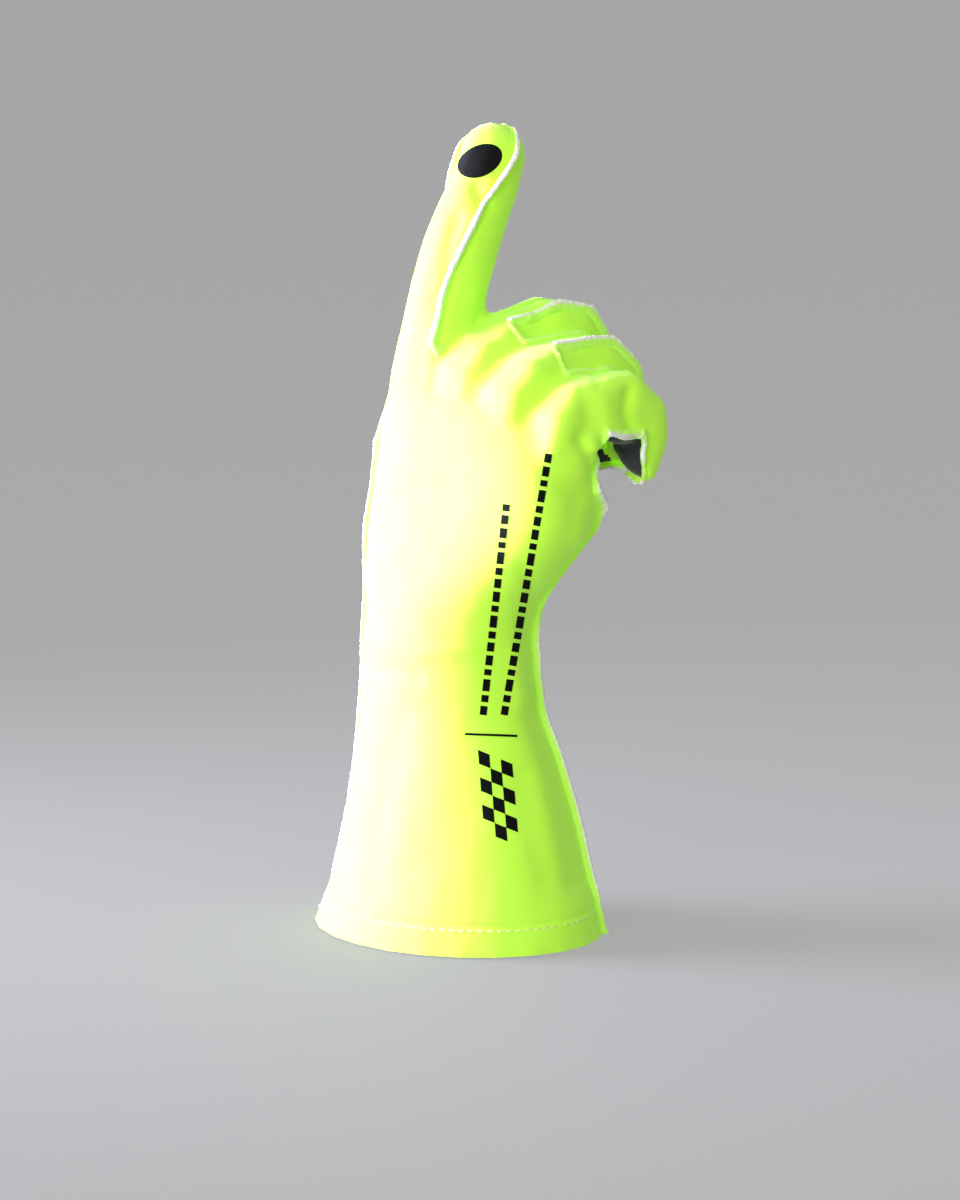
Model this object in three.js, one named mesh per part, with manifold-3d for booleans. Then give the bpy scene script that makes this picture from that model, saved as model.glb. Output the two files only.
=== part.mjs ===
// A right-hand karting glove with a long flared cuff, held in the form of a hand that points up:
// the index finger stands, the other three are curled and the thumb lies against them.
// The back is one laminated-fabric panel from the fingertips to the hem, the palm is suede, and
// every join is an outside seam whose two raw edges stand out from the glove.
// Millimetres. +Z runs up the forearm, -Y is the back of the hand, +X is the little finger's side.
// The origin is the middle of the opening at the hem.
import * as THREE from "three";
import { ConvexGeometry } from "three/addons/geometries/ConvexGeometry.js";
import { mergeVertices } from "three/addons/utils/BufferGeometryUtils.js";
import Module from "manifold-3d";

// Driving dimensions: the cuff and the hand.
const CUFF_WIDTH = 108;
const CUFF_DEPTH = 89;
const CUFF_HEIGHT = 100; // the hem to the narrowest place of the wrist
const WRIST_WIDTH = 68;
const WRIST_DEPTH = 50;
const PALM_WIDTH = 90;
const PALM_DEPTH = 58;
const PALM_LENGTH = 98; // the wrist to the knuckles
const HAND_DOME = 18; // how far the hand's round top rises over its last section

// Driving dimensions: the fingers.
const FINGER_LENGTH = 92; // the index finger's three bones together
const FINGER_WIDTH = 26;
const KNUCKLE_SPACING = 20.5;
const JOINT_RADIUS = 14; // of a finger's middle line at a bend
const ROOT = 28; // how deep a finger's form reaches into the hand
const ROOT_SIZE = 0.62; // the size of a finger's form at its start in the hand, as a share
const ROOT_BOX = 3.2; // how square a finger's section is in the hand, 2 being an ellipse
const FINGER_BOX = 2.3; // and past the knuckle
const WEB_SPREAD = 0.3; // how much wider a finger is where it joins the next, as a share
const WEB_WALL = 0.5; // how far a hollow's web lies behind the skin's

// Driving dimensions: the cloth, the hem and the seams.
const WALL = 1.8;
const HEM_HEIGHT = 9.7;
const HEM_FOLD = 0.6; // how far the folded hem stands out past the cloth
const WRIST_SEAM_HEIGHT = 83; // the hem to the seam between the palm and the cuff's front
const THUMB_SEAM = 7; // the thumb's knuckle to the seam across its back
const SEAM_GAP = 0.3; // the clear gap between a seam and the panels on both sides of it
const SEAM_THICKNESS = 2; // two raw edges side by side
const SEAM_HEIGHT = 2.6; // how far the raw edges stand out
const CROWN_GAP = 0.95; // a fingertip's crown to the ends of the seams that meet there

// How finely the round forms are divided, how far a cut reaches past the cloth, and the size of the
// slivers that are cleared away after it.
const HAND_SIDES = 24;
const INNER_HAND_SIDES = 18;
const FINGER_SIDES = 12;
const INNER_FINGER_SIDES = 8;
const HAND_STEP = 9;
const STEP = 8;
const INNER_STEP = 15;
const SEAM_STEP_ANGLE = 12;
const ARC_STEPS = 8;
const DOME_ANGLES = [25, 50, 72]; // the rings of the hand's round top, in degrees above its edge
const BACK_SEAM_ON_TIP = [0.4, 0.8]; // places over a fingertip, as shares of the gusset's end
const PALM_SEAM_ON_TIP = [0.45];
const ANGLE_HALVINGS = 20;
const LINK_LAP = 0.02;
const CUT_REACH = 4;
const CREASE_DEPTH = 12;
const SLIVER = 0.05;
const WELD = 1e-4;

// The sections of the hand and cuff from the hem up. "up" is a share of the cuff's height below the
// wrist, and of the hand's length above it. "grow" goes from the wrist's size (0) to the cuff's or
// the palm's (1), and the four half-sizes are shares of that. "side" and "palmward" move the middle,
// as shares of the palm's width. "turn" swings the section's wide axis and "slope" tips its
// little-finger end down, in degrees, and "box" is 2 for an ellipse and more for a squarer section.
// "thumbSeam" and "littleSeam" are where the two side seams lie, in degrees from the back's middle.
const CUFF_SECTIONS = [
  { up: 0, grow: 1, radial: 1.08, ulnar: 1, back: 1.06, front: 1, side: 0, palmward: 0 },
  { up: 0.1, grow: 0.89, radial: 1.04, ulnar: 1, back: 1.02, front: 1, side: 0, palmward: 0 },
  { up: 0.3, grow: 0.66, radial: 1.03, ulnar: 1, back: 1.01, front: 1.02, side: 0, palmward: 0 },
  { up: 0.6, grow: 0.3, radial: 1.05, ulnar: 1, back: 1.04, front: 1.03, side: -0.02, palmward: 0 },
  { up: 0.85, grow: 0.03, radial: 1.09, ulnar: 0.98, back: 1.07, front: 1, side: -0.045, palmward: -0.01 },
].map((row) => ({ ...row, turn: 0, slope: 0, box: 2, thumbSeam: -66, littleSeam: 128 }));
const HAND_SECTIONS = [
  {
    up: 0, grow: 0, radial: 1.07, ulnar: 0.97, back: 1.05, front: 1, side: -0.05, palmward: -0.01,
    turn: 0, slope: 0, box: 2.1, thumbSeam: -64, littleSeam: 128,
  },
  {
    up: 0.12, grow: 0, radial: 1.05, ulnar: 0.95, back: 1, front: 0.97, side: -0.05, palmward: -0.01,
    turn: 0, slope: 2, box: 2.1, thumbSeam: -66, littleSeam: 130,
  },
  {
    up: 0.3, grow: 1, radial: 0.99, ulnar: 0.86, back: 0.76, front: 0.92, side: 0, palmward: 0.01,
    turn: 2, slope: 4, box: 2.2, thumbSeam: -71, littleSeam: 132,
  },
  {
    up: 0.5, grow: 1, radial: 0.98, ulnar: 1.05, back: 0.66, front: 1.2, side: 0.01, palmward: 0.04,
    turn: 4, slope: 6, box: 2.6, thumbSeam: -72, littleSeam: 130,
  },
  {
    up: 0.62, grow: 1, radial: 0.93, ulnar: 1.07, back: 0.58, front: 0.9, side: 0, palmward: 0.03,
    turn: 5, slope: 8, box: 3.2, thumbSeam: -74, littleSeam: 114,
  },
  {
    up: 0.76, grow: 1, radial: 0.82, ulnar: 1, back: 0.52, front: 0.66, side: 0, palmward: 0.03,
    turn: 6, slope: 10, box: 2.6, thumbSeam: -78, littleSeam: 112,
  },
];

// The fingers. The knuckle is where the finger leaves the hand. "side" is a share of the knuckles'
// spacing, "palmward" of the palm's depth and "above" the wrist of the hand's length. "lean" tips the
// finger to the little finger's side, and "bends" are in degrees from the hand to the tip. "bones"
// are shares of the finger length, and the half-sizes and "curled", the front's at the bends, of the
// finger width. "tip" is how far the finger narrows to its end.
const FINGERS = [
  {
    name: "index", side: -0.92, palmward: 0.017, above: 0.86, lean: 6, bends: [9, 10, 5],
    bones: [0.46, 0.27, 0.205], half: 0.52, back: 0.5, front: 0.5, curled: 0.5, tip: 0.88,
  },
  {
    name: "middle", side: 0.1, palmward: 0.01, above: 0.965, lean: 3, bends: [73, 97, 40],
    bones: [0.545, 0.25, 0.12], half: 0.39, back: 0.45, front: 0.43, curled: 0.36, tip: 0.92,
  },
  {
    name: "ring", side: 1.07, palmward: 0.05, above: 0.91, lean: 1, bends: [81, 95, 30],
    bones: [0.49, 0.22, 0.1], half: 0.375, back: 0.44, front: 0.42, curled: 0.33, tip: 0.92,
  },
  {
    name: "little", side: 1.98, palmward: 0.14, above: 0.835, lean: 0, bends: [85, 92, 25],
    bones: [0.4, 0.15, 0.07], half: 0.36, back: 0.42, front: 0.4, curled: 0.25, tip: 0.94,
  },
];
const THUMB = {
  name: "thumb", side: -1.85, palmward: 0.345, above: 0.35, aim: [-0.37, 0.44, 0.82],
  hinge: [-0.1, -0.9, 0.44], bends: [34, 8, 4], bones: [0.27, 0.17, 0.11],
  half: 0.42, back: 0.43, front: 0.43, curled: 0.43, tip: 0.88,
};

// The webs between neighbouring fingers. "reach" is how far the web lies past the first finger's
// knuckle, as a share of the finger length. Each web's gusset covers the facing sides of its two
// fingers, from "first" and "second" of the finger's half width outward on the back, and from
// "palmFirst" and "palmSecond" on the palm.
const WEBS = [
  {
    name: "index_middle", fingers: [0, 1], reach: 0.24,
    first: 0.88, second: 0.84, palmFirst: 0.15, palmSecond: 0.8,
  },
  {
    name: "middle_ring", fingers: [1, 2], reach: 0.19,
    first: 0.76, second: 0.76, palmFirst: 0.76, palmSecond: 0.76,
  },
  {
    name: "ring_little", fingers: [2, 3], reach: 0.17,
    first: 0.74, second: 0.75, palmFirst: 0.77, palmSecond: 0.78,
  },
];
const WEB_ANGLE = 50; // where a web's end is looked for, in degrees from the back
const INDEX_SIDE_SEAM = -100;
const LITTLE_ROOT_SEAM = 104;
const LITTLE_SIDE_SEAM = 128;
const THUMB_SEAM_ROOT = 50; // half of what the seam spans across the thumb's back

const X_AXIS = new THREE.Vector3(1, 0, 0);
const Y_AXIS = new THREE.Vector3(0, 1, 0);
const Z_AXIS = new THREE.Vector3(0, 0, 1);
const lerp = THREE.MathUtils.lerp;
const radians = THREE.MathUtils.degToRad;
const ease = THREE.MathUtils.smoothstep;

const wasm = await Module();
wasm.setup();

function toSolid(geometry) {
  const bare = geometry.clone();
  bare.deleteAttribute("normal");
  bare.deleteAttribute("uv");
  const merged = mergeVertices(bare, WELD);
  return new wasm.Manifold(new wasm.Mesh({
    numProp: 3,
    vertProperties: merged.attributes.position.array,
    triVerts: new Uint32Array(merged.index.array),
  }));
}

// A solid without the slivers and specks that cuts can leave.
function tidied(solid) {
  const pieces = solid.simplify(SLIVER).decompose();
  return pieces.reduce((best, piece) => (piece.volume() > best.volume() ? piece : best));
}

function toGeometry(solid) {
  const mesh = solid.getMesh();
  const points = new Float32Array(mesh.numVert * 3);
  for (let i = 0; i < mesh.numVert; i++) {
    points.set(mesh.vertProperties.subarray(i * mesh.numProp, i * mesh.numProp + 3), i * 3);
  }
  const geometry = new THREE.BufferGeometry();
  geometry.setAttribute("position", new THREE.BufferAttribute(points, 3));
  geometry.setIndex(new THREE.BufferAttribute(mesh.triVerts, 1));
  geometry.computeVertexNormals();
  return geometry;
}

// A closed body through rings of points. Each end is closed to a point.
function tube(rings, first, last) {
  const sides = rings[0].length;
  const points = [first, ...rings.flat(), last];
  const faces = [];
  const at = (ring, side) => 1 + ring * sides + (side % sides);
  for (let j = 0; j < sides; j++) {
    faces.push(0, at(0, j + 1), at(0, j));
    for (let i = 0; i < rings.length - 1; i++) {
      faces.push(at(i, j), at(i, j + 1), at(i + 1, j + 1));
      faces.push(at(i, j), at(i + 1, j + 1), at(i + 1, j));
    }
    faces.push(at(rings.length - 1, j), at(rings.length - 1, j + 1), points.length - 1);
  }
  const geometry = new THREE.BufferGeometry();
  geometry.setAttribute("position", new THREE.Float32BufferAttribute(points.flatMap((p) => p.toArray()), 3));
  geometry.setIndex(faces);
  const solid = toSolid(geometry);
  if (solid.volume() > 0) return solid;
  for (let i = 0; i < faces.length; i += 3) [faces[i + 1], faces[i + 2]] = [faces[i + 2], faces[i + 1]];
  geometry.setIndex(faces);
  return toSolid(geometry);
}

// A body through convex rings, made of a convex link between each two, so that it may twist or bend
// tightly. Each link reaches on by that share of its length, into the next.
function chain(rings, lap = 0) {
  const links = rings.slice(1).map((ring, i) => {
    const onward = ring.map((p, j) => p.clone().addScaledVector(p.clone().sub(rings[i][j]), lap));
    return toSolid(new ConvexGeometry([...rings[i], ...onward]));
  });
  return wasm.Manifold.union(links);
}

const middleOf = (ring) => ring.reduce((sum, p) => sum.add(p), new THREE.Vector3()).divideScalar(ring.length);
const anglesOf = (sides) => Array.from({ length: sides }, (_, j) => (j * 360) / sides);

// Even steps between two values, with both ends.
function stepsBetween(from, to, step) {
  const count = Math.max(1, Math.round(Math.abs(to - from) / step));
  return Array.from({ length: count + 1 }, (_, i) => lerp(from, to, i / count));
}

// A smooth value between the rows of a table, by a monotone cubic through each column.
function between(rows, key, at) {
  const last = rows.length - 1;
  if (at <= rows[0].at) return rows[0][key];
  if (at >= rows[last].at) return rows[last][key];
  let i = 0;
  while (rows[i + 1].at < at) i++;
  const step = (k) => (rows[k + 1][key] - rows[k][key]) / (rows[k + 1].at - rows[k].at);
  const slopeAt = (k) => {
    if (k === 0 || k === last) return k === 0 ? step(0) : step(last - 1);
    return step(k - 1) * step(k) <= 0 ? 0 : (2 * step(k - 1) * step(k)) / (step(k - 1) + step(k));
  };
  const span = rows[i + 1].at - rows[i].at;
  const t = (at - rows[i].at) / span;
  const a = rows[i][key];
  const b = rows[i + 1][key];
  return (
    a * (1 + 2 * t) * (1 - t) ** 2 + slopeAt(i) * span * t * (1 - t) ** 2 +
    b * t * t * (3 - 2 * t) - slopeAt(i + 1) * span * t * t * (1 - t)
  );
}

// The table's rows in millimetres from the hem up.
const toRow = (bottom, height, width, depth) => (row) => ({
  ...row,
  at: bottom + row.up * height,
  radial: (row.radial * lerp(WRIST_WIDTH, width, row.grow)) / 2,
  ulnar: (row.ulnar * lerp(WRIST_WIDTH, width, row.grow)) / 2,
  back: (row.back * lerp(WRIST_DEPTH, depth, row.grow)) / 2,
  front: (row.front * lerp(WRIST_DEPTH, depth, row.grow)) / 2,
  side: row.side * PALM_WIDTH,
  palmward: row.palmward * PALM_WIDTH,
});
const handRows = [
  ...CUFF_SECTIONS.map(toRow(0, CUFF_HEIGHT, CUFF_WIDTH, CUFF_DEPTH)),
  ...HAND_SECTIONS.map(toRow(CUFF_HEIGHT, PALM_LENGTH, PALM_WIDTH, PALM_DEPTH)),
];
const HAND_TOP = handRows[handRows.length - 1].at;

// A section is a middle point, two axes and four half-sizes.
function handSection(height) {
  const value = (key) => between(handRows, key, height);
  const turn = radians(value("turn"));
  const slope = radians(value("slope"));
  return {
    middle: new THREE.Vector3(value("side"), value("palmward"), height),
    lateral: new THREE.Vector3(
      Math.cos(turn) * Math.cos(slope), Math.sin(turn) * Math.cos(slope), -Math.sin(slope)),
    dorsal: new THREE.Vector3(Math.sin(turn), -Math.cos(turn), 0),
    radial: value("radial"), ulnar: value("ulnar"), back: value("back"), front: value("front"),
    box: value("box"),
  };
}

// A point of a section: the angle goes from the back (0) over the little finger's side (90).
function sectionPoint(s, angle, offset = 0, share = 1) {
  const a = radians(angle);
  const power = 2 / s.box;
  const across = Math.sign(Math.sin(a)) * Math.abs(Math.sin(a)) ** power;
  const up = Math.sign(Math.cos(a)) * Math.abs(Math.cos(a)) ** power;
  const wide = (Math.sin(a) < 0 ? s.radial : s.ulnar) + offset;
  const high = (Math.cos(a) < 0 ? s.front : s.back) + offset;
  return s.middle.clone()
    .addScaledVector(s.lateral, across * wide * share)
    .addScaledVector(s.dorsal, up * high * share);
}

const handRing = (height, sides, offset) => {
  const s = handSection(Math.max(height, 0));
  s.middle.z = height;
  return anglesOf(sides).map((a) => sectionPoint(s, a, offset));
};

// A stretch of the hand and cuff with flat ends. The offset moves the surface out, or in for a hollow.
function handBand(from, to, sides, step, offset) {
  const rings = stepsBetween(from, to, step).map((height) => handRing(height, sides, offset));
  return tube(rings, middleOf(rings[0]), middleOf(rings[rings.length - 1]));
}

// The hand and cuff from a height up to the hand's domed top.
function handSolid(from, sides, step, offset) {
  const rings = stepsBetween(from, HAND_TOP, step).map((height) => handRing(height, sides, offset));
  const end = handSection(HAND_TOP);
  const rise = HAND_DOME + offset;
  const raised = (lift) => ({ ...end, middle: end.middle.clone().addScaledVector(Z_AXIS, lift) });
  for (const t of DOME_ANGLES) {
    const s = raised(rise * Math.sin(radians(t)));
    rings.push(anglesOf(sides).map((a) => sectionPoint(s, a, offset, Math.cos(radians(t)))));
  }
  return tube(rings, middleOf(rings[0]), raised(rise).middle);
}

// A finger's middle line: bones with rounded corners, in the plane that the bends turn in.
function fingerLine(f) {
  const knuckle = new THREE.Vector3(
    f.side * KNUCKLE_SPACING, f.palmward * PALM_DEPTH, CUFF_HEIGHT + f.above * PALM_LENGTH);
  const lateral = X_AXIS.clone();
  const aim = Z_AXIS.clone();
  if (f.aim) {
    aim.set(...f.aim).normalize();
    lateral.set(...f.hinge);
    lateral.addScaledVector(aim, -lateral.dot(aim)).normalize();
  } else {
    aim.applyAxisAngle(Y_AXIS, radians(f.lean));
    lateral.applyAxisAngle(Y_AXIS, radians(f.lean));
  }
  const dorsal = new THREE.Vector3().crossVectors(lateral, aim).normalize();
  const corners = [knuckle.clone().addScaledVector(aim, -ROOT), knuckle];
  let angle = 0;
  f.bones.forEach((bone, i) => {
    angle += f.bends[i];
    const direction = aim.clone().multiplyScalar(Math.cos(radians(angle)))
      .addScaledVector(dorsal, -Math.sin(radians(angle)));
    corners.push(corners[corners.length - 1].clone().addScaledVector(direction, bone * FINGER_LENGTH));
  });
  const points = roundedCorners(corners);
  const along = [0];
  for (let i = 1; i < points.length; i++) along.push(along[i - 1] + points[i].distanceTo(points[i - 1]));
  const length = along[along.length - 1];
  const pointAt = (distance) => {
    const d = THREE.MathUtils.clamp(distance, 0, length);
    let i = 1;
    while (i < points.length - 1 && along[i] < d) i++;
    const t = (d - along[i - 1]) / Math.max(along[i] - along[i - 1], WELD);
    return points[i - 1].clone().lerp(points[i], t);
  };
  const tangentAt = (d) => pointAt(Math.min(d + 1, length)).sub(pointAt(Math.max(d - 1, 0))).normalize();
  return { ...f, pointAt, tangentAt, lateral, length, webs: {} };
}

// A line through corner points whose corners are arcs.
function roundedCorners(corners) {
  const points = [corners[0]];
  for (let i = 1; i < corners.length - 1; i++) {
    const before = corners[i].clone().sub(corners[i - 1]);
    const after = corners[i + 1].clone().sub(corners[i]);
    const half = Math.max(before.angleTo(after) / 2, 0.01);
    const cut = Math.min(before.length() / 2, after.length() / 2, JOINT_RADIUS * Math.tan(half));
    const a = corners[i].clone().addScaledVector(before.normalize(), -cut);
    const b = corners[i].clone().addScaledVector(after.normalize(), cut);
    const pull = ((4 / 3) * Math.tan(half / 2)) / Math.tan(half);
    const arc = new THREE.CubicBezierCurve3(
      a, a.clone().lerp(corners[i], pull), b.clone().lerp(corners[i], pull), b);
    points.push(...arc.getPoints(ARC_STEPS));
  }
  points.push(corners[corners.length - 1]);
  return points;
}

// The section of a finger at a distance from its start. A side that has a web is wider up to it, and
// the hollow inside is wider still, so that no wall is left between the fingers in the hand.
function fingerSection(line, distance, hollow = false) {
  const tangent = line.tangentAt(distance);
  const dorsal = new THREE.Vector3().crossVectors(line.lateral, tangent).normalize();
  const taper = lerp(1, line.tip, ease(distance / line.length, 0.55, 1));
  const size = FINGER_WIDTH * taper * lerp(ROOT_SIZE, 1, ease(distance, 0, ROOT));
  const root = 1 - ease(distance, ROOT, ROOT * 2);
  const firstBone = line.bones[0] * FINGER_LENGTH;
  const front = lerp(line.front, line.curled, ease(distance, ROOT + firstBone * 0.5, ROOT + firstBone));
  const half = (web) => {
    if (web === undefined) return line.half * size;
    const end = web - (hollow ? WEB_WALL : 0);
    const joined = 1 - ease(distance, end - STEP, end + STEP / 2);
    return line.half * size * (1 + WEB_SPREAD * joined) + (hollow ? (WALL + SEAM_GAP) * joined : 0);
  };
  return {
    middle: line.pointAt(distance), lateral: line.lateral, dorsal, tangent,
    radial: half(line.webs.radial), ulnar: half(line.webs.ulnar),
    back: line.back * size, front: front * size, box: lerp(FINGER_BOX, ROOT_BOX, root),
  };
}

// A point of a finger's skin and the section there. Past the line's end the distance goes over the
// round tip, up to its crown.
function fingerPlace(line, distance, angle, offset = 0, hollow = false) {
  const s = fingerSection(line, Math.min(distance, line.length), hollow);
  const cap = s.back + offset;
  const t = radians(90 * THREE.MathUtils.clamp((distance - line.length) / s.back, 0, 1));
  s.middle.addScaledVector(s.tangent, cap * Math.sin(t));
  return { s, t, p: sectionPoint(s, angle, offset, Math.cos(t)) };
}

const crownAt = (line) => line.length + fingerSection(line, line.length).back;

function fingerSolid(line, sides, step, offset, hollow = false) {
  const end = fingerSection(line, line.length, hollow);
  const distances = [
    ...stepsBetween(0, line.length, step),
    line.length + end.back / 3,
    line.length + (end.back * 2) / 3,
  ];
  const rings = distances.map((d) => anglesOf(sides).map((a) => fingerPlace(line, d, a, offset, hollow).p));
  const crown = end.middle.clone().addScaledVector(end.tangent, end.back + offset);
  return tube(rings, middleOf(rings[0]), crown);
}

const fingers = FINGERS.map(fingerLine);
const thumb = fingerLine(THUMB);
const index = fingers[0];
const little = fingers[fingers.length - 1];

// Where each web ends along its two fingers: the place on the second is the nearest to the first's.
for (const web of WEBS) {
  const [first, second] = web.fingers.map((i) => fingers[i]);
  web.firstAt = ROOT + web.reach * FINGER_LENGTH;
  const here = fingerPlace(first, web.firstAt, WEB_ANGLE).p;
  const tries = stepsBetween(ROOT / 2, ROOT + second.bones[0] * FINGER_LENGTH, 0.5);
  const gap = (d) => fingerPlace(second, d, -WEB_ANGLE).p.distanceTo(here);
  web.secondAt = tries.reduce((best, d) => (gap(d) < gap(best) ? d : best));
}
for (const web of WEBS) {
  fingers[web.fingers[0]].webs.ulnar = web.firstAt;
  fingers[web.fingers[1]].webs.radial = web.secondAt;
}

// The skin, its hollow and the shell between them.
let skin = handSolid(HEM_HEIGHT + SEAM_GAP, HAND_SIDES, HAND_STEP, 0);
let hollow = handSolid(-INNER_STEP, INNER_HAND_SIDES, INNER_STEP, -WALL);
for (const line of [...fingers, thumb]) {
  skin = skin.add(fingerSolid(line, FINGER_SIDES, STEP, 0));
  hollow = hollow.add(fingerSolid(line, INNER_FINGER_SIDES, INNER_STEP, -WALL, true));
}
const skinMesh = new THREE.Mesh(toGeometry(skin), new THREE.MeshBasicMaterial());

// A place of a seam is a point on the skin and the way in which the raw edges stand out there.
function seamOnHand(height, angle) {
  const at = (h, a) => sectionPoint(handSection(h), a);
  const round = at(height, angle + 1).sub(at(height, angle - 1));
  const along = at(height + 1, angle).sub(at(height - 1, angle));
  return { p: at(height, angle), up: round.cross(along).normalize() };
}

function seamOnFinger(line, distance, angle, stand) {
  const { s, t, p } = fingerPlace(line, distance, angle);
  const flat = s.dorsal.clone().multiplyScalar(Math.cos(radians(stand)))
    .addScaledVector(s.lateral, Math.sin(radians(stand)));
  return { p, up: flat.multiplyScalar(Math.cos(t)).addScaledVector(s.tangent, Math.sin(t)).normalize() };
}

// Places between two others, laid on the skin.
function seamBetween(a, b, count) {
  const places = [];
  for (let i = 1; i <= count; i++) {
    const up = a.up.clone().lerp(b.up, i / (count + 1)).normalize();
    places.push(layOnSkin({ p: a.p.clone().lerp(b.p, i / (count + 1)), up }));
  }
  return places;
}

function layOnSkin({ p, up }) {
  const far = JOINT_RADIUS;
  const ray = new THREE.Raycaster(p.clone().addScaledVector(up, far), up.clone().negate(), 0, far * 2);
  const hit = ray.intersectObject(skinMesh)[0];
  return { p: hit ? hit.point : p, up };
}

// A strip that follows a path of places, from a depth under the skin to a height over it.
function strip(path, thickness, depth, height, longer = 0) {
  const rings = path.map((place, i) => {
    const tangent = path[Math.min(i + 1, path.length - 1)].p.clone().sub(path[Math.max(i - 1, 0)].p).normalize();
    const side = new THREE.Vector3().crossVectors(tangent, place.up).normalize().multiplyScalar(thickness / 2);
    const shift = i === 0 ? -longer : i === path.length - 1 ? longer : 0;
    const p = place.p.clone().addScaledVector(tangent, shift);
    const low = p.clone().addScaledVector(place.up, -depth);
    const high = p.clone().addScaledVector(place.up, height);
    return [low.clone().sub(side), low.clone().add(side), high.clone().add(side), high.clone().sub(side)];
  });
  return chain(rings);
}

const seams = [];
let cuts = null;

// A deep cut where a seam crosses the crease between the hand and a finger, and the wall is thick.
function cutCrease(path) {
  const cut = strip(path, SEAM_THICKNESS + 2 * SEAM_GAP, CREASE_DEPTH, SEAM_HEIGHT);
  cuts = cuts ? cuts.add(cut) : cut;
}

// A seam along one path or several, with the short joins between them, and the cuts that part the
// panels along it. A cut is wider by the gap and runs on past the ends, so that the cuts of seams
// that meet join up. What is given back is the room that the seam needs in other cloth.
function addSeam(name, paths, joins = []) {
  const solids = [
    ...paths.map((path) => strip(path, SEAM_THICKNESS, WALL, SEAM_HEIGHT)),
    ...joins.map((path) => strip(path, SEAM_THICKNESS, WALL - SEAM_GAP, SEAM_HEIGHT - SEAM_GAP, SEAM_THICKNESS / 3)),
  ];
  seams.push({ name, solid: solids.reduce((a, b) => a.add(b)) });
  const all = [...paths, ...joins];
  joins.forEach(cutCrease);
  const longer = CROWN_GAP + SEAM_THICKNESS;
  for (const path of all) {
    const cut = strip(path, SEAM_THICKNESS + 2 * SEAM_GAP, WALL + CUT_REACH, SEAM_HEIGHT + SEAM_GAP, longer);
    cuts = cuts ? cuts.add(cut) : cut;
  }
  return all
    .map((path) => strip(path, SEAM_THICKNESS + SEAM_GAP, WALL + SEAM_GAP, SEAM_HEIGHT + SEAM_GAP, SEAM_GAP))
    .reduce((a, b) => a.add(b));
  return room;
}

// The two side seams of the hand, from the hem to the crowns of the index and the little finger.
function sideSeam(line, column, rootAt, angleAt) {
  const top = handRows[handRows.length - 2].at;
  const onHand = stepsBetween(0, top, STEP).map((h) => seamOnHand(h, between(handRows, column, h)));
  const onFinger = stepsBetween(rootAt, crownAt(line) - CROWN_GAP, STEP)
    .map((d) => seamOnFinger(line, d, angleAt(d), angleAt(d)));
  const crease = seamBetween(onHand[onHand.length - 1], onFinger[0], 3);
  cutCrease([...onHand.slice(-2), ...crease, ...onFinger.slice(0, 2)]);
  return [...onHand, ...crease, ...onFinger];
}
const indexSide = (d) => lerp(INDEX_SIDE_SEAM, -90, ease(d, index.length - ROOT, index.length));
addSeam("seam_thumb_side", [sideSeam(index, "thumbSeam", ROOT + STEP, indexSide)]);
const littleSide = (d) => lerp(LITTLE_ROOT_SEAM, LITTLE_SIDE_SEAM, ease(d, ROOT + STEP, ROOT * 2));
addSeam("seam_little_side", [sideSeam(little, "littleSeam", ROOT + STEP, littleSide)]);

// One side of a web: the part of a finger beside the gusset's edge. The edge is a line across the
// finger's section, from the back to the palm, and it starts where the web's cloth does.
function webSide(web, n) {
  const line = fingers[web.fingers[n]];
  const half = line.half * FINGER_WIDTH;
  const start = (n === 0 ? web.firstAt : web.secondAt) - WALL - SEAM_GAP;
  return {
    line, half, start, side: n === 0 ? 1 : -1,
    onBack: half * (n === 0 ? web.first : web.second),
    onPalm: half * (n === 0 ? web.palmFirst : web.palmSecond),
  };
}

// How far the gusset's edge lies from a section's middle, at a height towards the back.
function gussetEdge(part, s, up) {
  return lerp(part.onPalm, part.onBack, (up + s.front) / (s.back + s.front));
}

// The block that holds a gusset's cloth on one finger. "inward" widens it past the gusset's edge.
function gussetBlock(part, inward) {
  const { line, half, side } = part;
  const top = line.back * FINGER_WIDTH + SEAM_HEIGHT;
  const bottom = -line.curled * FINGER_WIDTH - SEAM_HEIGHT;
  const far = half + SEAM_HEIGHT;
  const ring = (s, onward) => [
    [gussetEdge(part, s, top) - inward, top], [far, top],
    [far, bottom], [gussetEdge(part, s, bottom) - inward, bottom],
  ].map(([across, up]) => s.middle.clone()
    .addScaledVector(s.lateral, across * side)
    .addScaledVector(s.dorsal, up)
    .addScaledVector(s.tangent, onward));
  const rings = stepsBetween(part.start, line.length, STEP).map((d) => ring(fingerSection(line, d), 0));
  if (inward) rings.unshift(ring(fingerSection(line, part.start), -inward));
  const end = fingerSection(line, line.length);
  rings.push(ring(end, end.back + SEAM_GAP));
  return chain(rings, LINK_LAP);
}

// The middle of the seam beside a gusset, where the line through its two raw edges meets the skin.
function besideGusset(part, distance, palm) {
  const { line, side } = part;
  const s = fingerSection(line, Math.min(distance, line.length));
  const slant = (part.onBack - part.onPalm) / (s.back + s.front);
  const inset = (SEAM_GAP + SEAM_THICKNESS / 2) * Math.hypot(1, slant);
  let low = 0;
  let high = 90;
  for (let i = 0; i < ANGLE_HALVINGS; i++) {
    const angle = (low + high) / 2;
    const place = fingerPlace(line, distance, side * (palm ? 180 - angle : angle));
    const from = place.p.clone().sub(place.s.middle);
    const edge = gussetEdge(part, s, from.dot(s.dorsal)) - inset;
    if (Math.abs(from.dot(s.lateral)) < edge) low = angle;
    else high = angle;
  }
  const lean = THREE.MathUtils.radToDeg(Math.atan(slant));
  const angle = side * (palm ? 180 - low : low);
  return seamOnFinger(line, distance, angle, side * (palm ? 180 + lean : lean));
}

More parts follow.
